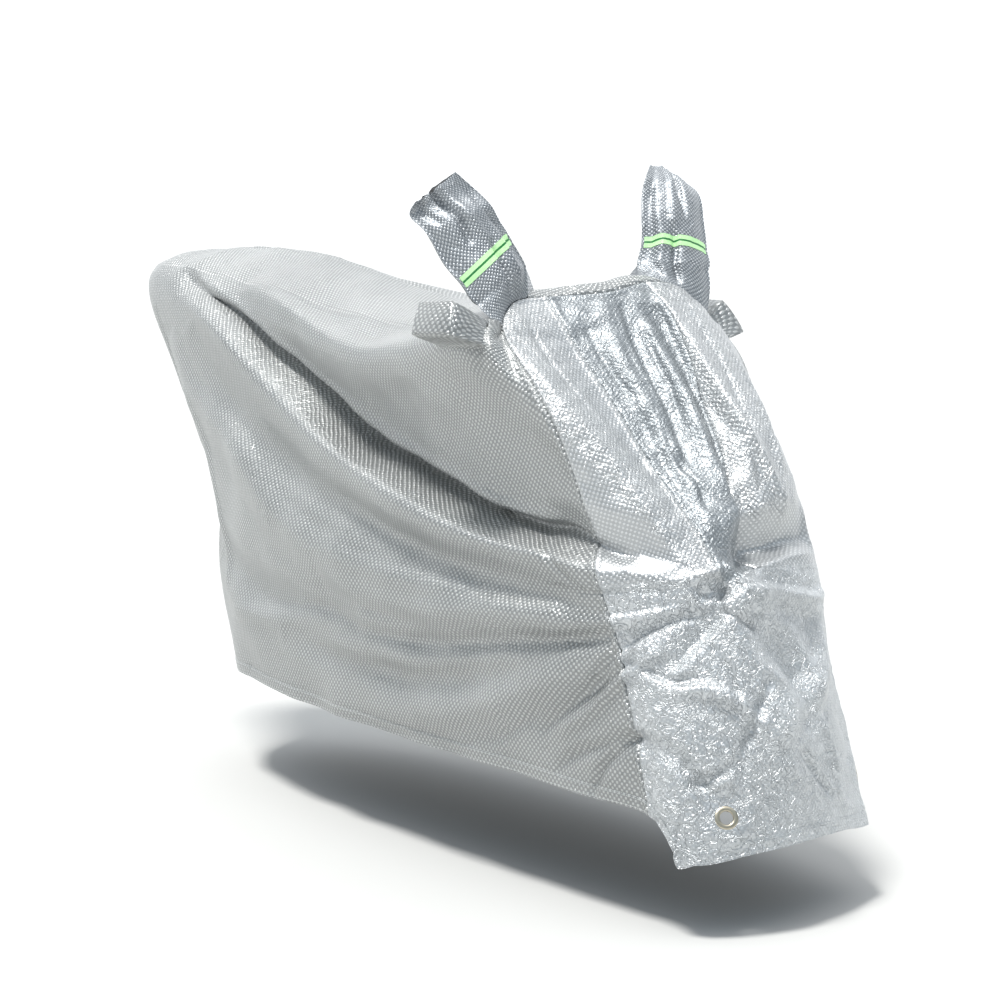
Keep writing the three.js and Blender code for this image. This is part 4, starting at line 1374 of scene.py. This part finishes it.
    def _close_tip(self, piece: bpy.types.Object) -> None:
        """Closes the tip between the front and the back piece.

        Args:
            piece: The sleeve's object.
        """
        made = bmesh.new()
        made.from_mesh(piece.data)
        bmesh.ops.remove_doubles(made, verts=made.verts, dist=1e-6)
        top = max(made.verts, key=lambda vertex: vertex.co.z)
        open_edges = [edge for edge in made.edges if edge.is_boundary]
        rim = [edge for edge in open_edges if (edge.verts[0].co - top.co).length < self.tip_reach * MM]
        bmesh.ops.contextual_create(made, geom=rim)
        bmesh.ops.recalc_face_normals(made, faces=made.faces)
        made.to_mesh(piece.data)
        made.free()
        piece.data.polygons.foreach_set("use_smooth", [True] * len(piece.data.polygons))


POCKET_ROWS: dict[Side, Rows] = {
    Side.RIGHT: (
        (971, 267, 1030, 939, 145, 1089, 27), (949, 284, 1065, 920, 165, 1138, 27),
        (919, 300, 1101, 910, 180, 1167, 26), (890, 315, 1152, 907, 200, 1197, 23),
        (858, 330, 1184, 881, 215, 1226, 16), (868, 327, 1209, 869, 250, 1257, 4),
    ),
    Side.LEFT: (
        (957, 267, 1072, 914, 145, 1083, 27), (933, 284, 1111, 902, 165, 1126, 27),
        (904, 300, 1163, 882, 180, 1178, 26), (874, 315, 1210, 858, 200, 1220, 22),
        (826, 325, 1234, 848, 215, 1248, 15), (803, 300, 1253, 816, 250, 1268, 4),
    ),
}


@dataclass
class PocketBand:
    """The lime ribbon across a pocket's front, caught in its sewn edges, sizes in mm."""

    pocket: MirrorPocket
    finishes: Finishes
    width: float = 22.0
    lift: float = 0.9
    across: int = 6
    ring: int = 2
    thickness: float = 0.6

    def build(self) -> bpy.types.Object:
        """Returns:
            The object.
        """
        shape = self.pocket.shape
        row = self.ring * self.pocket.rows_between
        front = shape[1:self.pocket.steps - 1]
        normal = normals_of(shape)[1:self.pocket.steps - 1]
        normal = normal * (1 if self.pocket.side is Side.RIGHT else -1)
        place = run_along(front, axis=1)
        place = place - place[:, row:row + 1]
        lifted = front + self.lift * normal
        lines = [[[np.interp(share * self.width, place[i], lifted[i, :, k]) for k in range(3)]
                  for i in range(len(front))] for share in np.linspace(-0.5, 0.5, self.across + 1)]
        points = np.swapaxes(np.array(lines), 0, 1)
        along = run_along(points, axis=0)[:, self.across // 2]
        flat = np.stack([np.repeat(along[:, None] * MM, points.shape[1], axis=1),
                         np.repeat(np.linspace(0, 1, points.shape[1])[None, :], len(points), axis=0)],
                        axis=-1)
        if self.pocket.side is Side.LEFT:
            points, flat = points[::-1], flat[::-1]
        name = f"band_{self.pocket.side.name.lower()}"
        keep = np.ones((points.shape[0] - 1, points.shape[1] - 1), bool)
        piece = mesh_from_grid(name, to_frame(points), keep, flat)
        piece.data.materials.append(self.finishes.ribbon)
        thicken(piece, self.thickness, two_faced=False)
        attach(piece, "root")
        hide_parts(f"pocket_band_{self.pocket.side.name.lower()}")
        return piece


@dataclass
class Eyelet:
    """A two-flanged metal ring set in the apron, sizes in mm."""

    side: Side
    finishes: Finishes
    flat_radius: float = 30.0
    blend_radius: float = 62.0
    hole_in_cloth: float = 15.5
    hole: float = 11.5
    flange: float = 20.5
    half_height: float = 2.6
    cloth: float = 2.0
    turns: int = 48
    section_steps: int = 28
    outer_crown: float = 0.25

    def build(self) -> bpy.types.Object:
        """Turns the ring's rounded section round its axis.

        Returns:
            The object.
        """
        centre, out = FORM.at(self.side, *EYELETS_AT[self.side])
        centre = centre - out * self.cloth / 2
        across = np.cross([0.0, 0.0, 1.0], out)
        across /= np.linalg.norm(across)
        up = np.cross(out, across)
        mid, half = (self.hole + self.flange) / 2, (self.flange - self.hole) / 2
        section = []
        for step in range(self.section_steps):
            angle = 2 * math.pi * step / self.section_steps
            wide = math.copysign(abs(math.cos(angle)) ** 0.7, math.cos(angle))
            high = math.copysign(abs(math.sin(angle)) ** 0.8, math.sin(angle))
            crown = 1 - self.outer_crown * max(0.0, wide)
            section.append((mid + half * wide, self.half_height * high * crown))
        angles = np.linspace(0, 2 * math.pi, self.turns, endpoint=False)
        points = np.array([[centre + (across * math.cos(a) + up * math.sin(a)) * r + out * h
                            for r, h in section] for a in angles])
        count = len(section)
        faces = [(i * count + j, i * count + (j + 1) % count,
                  (i + 1) % self.turns * count + (j + 1) % count, (i + 1) % self.turns * count + j)
                 for i in range(self.turns) for j in range(count)]
        name = f"eyelet_{self.side.name.lower()}"
        mesh = bpy.data.meshes.new(name)
        mesh.from_pydata(to_frame(points.reshape(-1, 3)).tolist(), [], faces)
        mesh.polygons.foreach_set("use_smooth", [True] * len(faces))
        mesh.materials.append(self.finishes.nickel)
        fixed = bmesh.new()
        fixed.from_mesh(mesh)
        bmesh.ops.recalc_face_normals(fixed, faces=fixed.faces)
        fixed.to_mesh(mesh)
        fixed.free()
        piece = place_object(name, mesh)
        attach(piece, "root")
        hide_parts(f"lock_eyelet_{self.side.name.lower()}")
        LOG.info("%s: %d faces", name, len(faces))
        return piece


@dataclass
class StitchRow:
    """Rows of stitches along seams and hems, made by Geometry Nodes, sizes in metres."""

    name: str
    paths: list[Grid]
    finishes: Finishes
    pitch: float = 0.0042
    length: float = 0.0031
    radius: float = 0.00055

    def _tree(self) -> tuple[bpy.types.NodeTree, dict[str, float]]:
        """Builds the node tree.

        Returns:
            The tree, and the values of its inputs by the sockets' identifiers.
        """
        tree = bpy.data.node_groups.new(f"{self.name}_nodes", "GeometryNodeTree")
        face = tree.interface
        face.new_socket("Geometry", in_out="INPUT", socket_type="NodeSocketGeometry")
        sizes = {"Pitch": self.pitch, "Stitch length": self.length, "Stitch radius": self.radius}
        names = {}
        for name in sizes:
            socket = face.new_socket(name, in_out="INPUT", socket_type="NodeSocketFloat")
            names[name] = socket.identifier
        face.new_socket("Geometry", in_out="OUTPUT", socket_type="NodeSocketGeometry")
        make, link = tree.nodes.new, tree.links.new
        given, result = make("NodeGroupInput"), make("NodeGroupOutput")
        curve = make("GeometryNodeMeshToCurve")
        link(given.outputs["Geometry"], curve.inputs[0])
        spaced = make("GeometryNodeResampleCurve")
        spaced.mode = "LENGTH"
        link(curve.outputs[0], spaced.inputs["Curve"])
        link(given.outputs["Pitch"], spaced.inputs["Length"])
        stitch = make("GeometryNodeMeshUVSphere")
        stitch.inputs["Segments"].default_value = 5
        stitch.inputs["Rings"].default_value = 4
        stitch.inputs["Radius"].default_value = 1.0
        size = make("ShaderNodeCombineXYZ")
        half = make("ShaderNodeMath")
        half.operation = "MULTIPLY"
        half.inputs[1].default_value = 0.5
        link(given.outputs["Stitch length"], half.inputs[0])
        link(given.outputs["Stitch radius"], size.inputs[0])
        link(given.outputs["Stitch radius"], size.inputs[1])
        link(half.outputs[0], size.inputs[2])
        tangent = make("GeometryNodeInputTangent")
        turned = make("FunctionNodeAlignRotationToVector")
        turned.axis = "Z"
        link(tangent.outputs[0], turned.inputs["Vector"])
        placed = make("GeometryNodeInstanceOnPoints")
        link(spaced.outputs[0], placed.inputs["Points"])
        link(stitch.outputs["Mesh"], placed.inputs["Instance"])
        link(turned.outputs[0], placed.inputs["Rotation"])
        link(size.outputs[0], placed.inputs["Scale"])
        real = make("GeometryNodeRealizeInstances")
        link(placed.outputs[0], real.inputs[0])
        dressed = make("GeometryNodeSetMaterial")
        dressed.inputs["Material"].default_value = self.finishes.thread
        link(real.outputs[0], dressed.inputs["Geometry"])
        link(dressed.outputs[0], result.inputs[0])
        return tree, {names[name]: value for name, value in sizes.items()}

    def build(self) -> bpy.types.Object:
        """Makes the stitches along every path as one plain mesh.

        Returns:
            The object.
        """
        vertices: list[list[float]] = []
        edges = []
        for path in self.paths:
            start = len(vertices)
            vertices += path.tolist()
            edges += [(start + i, start + i + 1) for i in range(len(path) - 1)]
        mesh = bpy.data.meshes.new(f"{self.name}_paths")
        mesh.from_pydata(vertices, edges, [])
        paths = place_object(f"{self.name}_paths", mesh)
        tree, inputs = self._tree()
        modifier = paths.modifiers.new("stitches", "NODES")
        modifier.node_group = tree
        for identifier, value in inputs.items():
            modifier[identifier] = value
        shaped = paths.evaluated_get(bpy.context.evaluated_depsgraph_get())
        stitches = bpy.data.meshes.new_from_object(shaped)
        stitches.name = self.name
        bpy.data.objects.remove(paths)
        piece = place_object(self.name, stitches)
        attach(piece, "root")
        LOG.info("%s: %d faces", self.name, len(stitches.polygons))
        return piece


@dataclass
class Cover:
    """All the cloth panels, in the order in which they are sewn together."""

    finishes: Finishes
    panels: dict[str, ClothPanel] = field(default_factory=dict)

    def build(self) -> None:
        """Builds every panel, the pockets, the bands, the eyelets and the stitches."""
        self._side_panels()
        self._front_pieces()
        for panel in self.panels.values():
            panel.build()
        for side in Side:
            pocket = MirrorPocket(side, POCKET_ROWS[side], self.finishes)
            pocket.build()
            PocketBand(pocket, self.finishes).build()
            Eyelet(side, self.finishes).build()
        self._stitches()

    def _side_panels(self) -> None:
        """The two side panels, from the rear seam to the side seam."""
        us = spread((0, 1, 20), (1, 7, 120), (7, 8.3, 52), (8.3, SIDE_SEAM - 0.1, 14),
                    (SIDE_SEAM - 0.1, SIDE_SEAM, 8))
        vs = spread((0, 0.14, 12), (0.14, 1.9, 36), (1.9, 3.75, 92), (3.75, 4.25, 30), (4.25, RIDGE, 16))
        for side in Side:
            columns = [(side, float(u)) for u in (us if side is Side.RIGHT else us[::-1])]
            name = side.name.lower()
            self.panels[name] = ClothPanel(
                f"panel_{name}", columns, vs,
                Crinkles(seed=11 + side.value, per_square_metre=60, length=(40, 120), width=(9, 18),
                         height=(0.6, 1.8), swell=2.2, swell_length=190),
                self.finishes.smooth, self.finishes.inner, (f"side_panel_{name}",), hem=True,
                seam_stations=(0.0, float(SIDE_SEAM)), seam_levels=(RIDGE,))

    def _front_pieces(self) -> None:
        """The front strips, the front panel, the yoke and the apron."""
        strip = spread((SIDE_SEAM, SIDE_SEAM + 0.16, 8), (SIDE_SEAM + 0.16, 10.84, 40),
                       (10.84, FRONT_SEAM, 8))
        nose = spread((FRONT_SEAM, FRONT_SEAM + 0.14, 6), (FRONT_SEAM + 0.14, NOSE, 18))
        upper = spread((WAIST, WAIST + 0.08, 8), (WAIST + 0.08, EDGE - 0.08, 84), (EDGE - 0.08, EDGE, 8))
        for side in Side:
            us = strip if side is Side.RIGHT else strip[::-1]
            name = side.name.lower()
            self.panels[f"strip_{name}"] = ClothPanel(
                f"strip_{name}", [(side, float(u)) for u in us], upper,
                Crinkles(seed=21 + side.value, per_square_metre=1500, length=(15, 42), width=(3.5, 8),
                         height=(0.4, 1.5), swell=1.0, swell_length=90),
                self.finishes.strip, self.finishes.inner, (f"front_strip_{name}",),
                seam_stations=(float(SIDE_SEAM), float(FRONT_SEAM)), seam_levels=(WAIST, EDGE))
        middle = [(Side.RIGHT, float(u)) for u in nose] + [(Side.LEFT, float(u)) for u in nose[-2::-1]]
        whole = [(Side.RIGHT, float(u)) for u in np.concatenate([strip, nose[1:]])]
        whole += [(Side.LEFT, u) for _, u in whole[-2::-1]]
        self.panels["front"] = ClothPanel(
            "front_centre", middle, upper,
            Crinkles(seed=5, per_square_metre=1300, length=(15, 45), width=(3.5, 8), height=(0.4, 1.5),
                     swell=1.2, swell_length=90),
            self.finishes.front, self.finishes.inner, ("front_panel",),
            seam_stations=(float(FRONT_SEAM),), seam_levels=(WAIST, EDGE))
        self.panels["yoke"] = ClothPanel(
            "yoke_cloth", whole, spread((EDGE, WINDOW_V, 20), (WINDOW_V, RIDGE, 24)),
            Crinkles(seed=8, per_square_metre=300), self.finishes.smooth, self.finishes.inner, ("yoke",),
            window=True, seam_stations=(float(SIDE_SEAM),), seam_levels=(EDGE,))
        self.panels["apron"] = ClothPanel(
            "apron_cloth", whole, spread((0, 0.12, 10), (0.12, 0.6, 44), (0.6, WAIST - 0.06, 62),
                                         (WAIST - 0.06, WAIST, 6)),
            Crinkles(seed=3, per_square_metre=1900, length=(14, 48), width=(3.5, 9), height=(0.5, 2.0),
                     swell=1.6, swell_length=110),
            self.finishes.crinkled, self.finishes.inner,
            ("apron", "lock_strip_right", "lock_strip_left"), hem=True, eyelets=True,
            seam_stations=(float(SIDE_SEAM),), seam_levels=(WAIST,))

    def _stitches(self) -> None:
        """Topstitching beside the seams, and the hems' three rows."""
        seams, hems = [], []
        for name, column in (("right", -1), ("left", 0)):
            seams.append(inset_path(self.panels[name], column, SEAM_INSET, along_levels=True))
        for name in ("strip_right", "strip_left"):
            for column in (0, -1):
                seams.append(inset_path(self.panels[name], column, SEAM_INSET, along_levels=True))
        for name in ("right", "apron", "left"):
            for inset in HEM_INSETS:
                hems.append(inset_path(self.panels[name], 0, inset, along_levels=False))
        StitchRow("seam_stitches", seams, self.finishes).build()
        StitchRow("hem_stitches", hems, self.finishes).build()


def inset_path(panel: ClothPanel, line: int, inset: float, along_levels: bool) -> Grid:
    """A path on a panel beside one of its edges.

    Args:
        panel: A panel that is already shaped.
        line: 0 for the first edge, -1 for the last.
        inset: The distance from the edge in mm.
        along_levels: True for a path up the panel, False for one along it.

    Returns:
        The path's points in metres, just above the cloth.
    """
    points, normal = panel.points, normals_of(panel.points)
    if not along_levels:
        points, normal = np.swapaxes(points, 0, 1), np.swapaxes(normal, 0, 1)
    if line == -1:
        points, normal = points[::-1], normal[::-1]
    far, lifted = run_along(points, axis=0), points + STITCH_LIFT * normal
    path = [[np.interp(inset, far[:, k], lifted[:, k, c]) for c in range(3)]
            for k in range(points.shape[1])]
    return to_frame(np.array(path))


@dataclass
class Studio:
    """Pale floor, soft light and a camera at the photograph's angle, in metres and degrees."""

    floor_height: float = -1.076
    floor_size: float = 60.0
    camera_at: tuple[float, float, float] = (4.987, -3.123, 0.224)
    azimuth: float = 54.4
    pitch: float = 7.16
    lens: float = 100.4
    sensor: float = 36.0
    key_from: tuple[float, float, float] = (-0.06, -0.24, 1.0)
    key_strength: float = 3.2
    key_softness: float = 12.0
    sweep_towards: tuple[float, float, float] = (-0.848, 0.531, 0.0)
    dome_strength: float = 1.6

    def build(self) -> None:
        """Sets the floor, the light and the camera."""
        bpy.context.scene.view_settings.view_transform = "Standard"
        self._floor()
        self._world()
        self._key_light()
        data = bpy.data.cameras.new("camera")
        data.lens, data.sensor_width = self.lens, self.sensor
        camera = place_object("camera", data)
        camera.location = self.camera_at
        camera.rotation_euler = (math.radians(90 - self.pitch), 0.0, math.radians(self.azimuth))
        bpy.context.scene.camera = camera

    def _floor(self) -> None:
        """A wide pale floor."""
        half = self.floor_size / 2
        mesh = bpy.data.meshes.new("floor")
        corners = [(-half, -half), (half, -half), (half, half), (-half, half)]
        mesh.from_pydata([(x, y, self.floor_height) for x, y in corners], [], [(0, 1, 2, 3)])
        material, n = new_material("pale_floor")
        shader = n.add("ShaderNodeBsdfPrincipled", {"Base Color": (0.60, 0.60, 0.59, 1), "Roughness": 0.9,
                                                    "Specular IOR Level": 0.1})
        n.add("ShaderNodeOutputMaterial", {0: shader.outputs[0]})
        mesh.materials.append(material)
        place_object("floor", mesh)

    def _world(self) -> None:
        """A soft dome, bright overhead and on the pale sweep behind, and cooler in front."""
        world = bpy.data.worlds.new("studio")
        world.use_nodes = True
        bpy.context.scene.world = world
        n = NodeTree(world.node_tree)
        direction = n.add("ShaderNodeTexCoord").outputs["Generated"]
        height = n.add("ShaderNodeSeparateXYZ", {0: direction}).outputs[2]
        ramp = n.add("ShaderNodeValToRGB", {0: height})
        ramp.color_ramp.elements[0].position = 0.0
        ramp.color_ramp.elements[0].color = (1.0, 1.0, 1.0, 1)
        ramp.color_ramp.elements[1].position = 1.0
        ramp.color_ramp.elements[1].color = (1.0, 1.0, 1.0, 1)
        for position, colour in ((0.06, (0.98, 0.99, 1.0, 1)), (0.11, (0.24, 0.26, 0.27, 1)),
                                 (0.55, (0.17, 0.205, 0.235, 1)), (0.80, (0.36, 0.43, 0.50, 1)),
                                 (0.93, (1.0, 1.0, 1.0, 1))):
            ramp.color_ramp.elements.new(position).color = colour
        away = n.add("ShaderNodeVectorMath", {0: direction, 1: self.sweep_towards},
                     operation="DOT_PRODUCT").outputs["Value"]
        whole = n.mix(n.eased(away, 0.15, 0.6, top=0.85), ramp.outputs[0], (0.86, 0.88, 0.90, 1))
        light = n.add("ShaderNodeBackground", {0: whole, 1: self.dome_strength})
        n.add("ShaderNodeOutputWorld", {0: light.outputs[0]})

    def _key_light(self) -> None:
        """A soft light high on the camera's left."""
        data = bpy.data.lights.new("key", "SUN")
        data.energy, data.angle = self.key_strength, math.radians(self.key_softness)
        data.color = (1.0, 0.985, 0.955)
        lamp = place_object("key", data)
        lamp.rotation_euler = (-Vector(self.key_from)).to_track_quat("-Z", "Y").to_euler()


def main() -> None:
    """Builds the studio and the cover."""
    Studio().build()
    Cover(Finishes.build()).build()


if __name__ == "__main__":
    main()
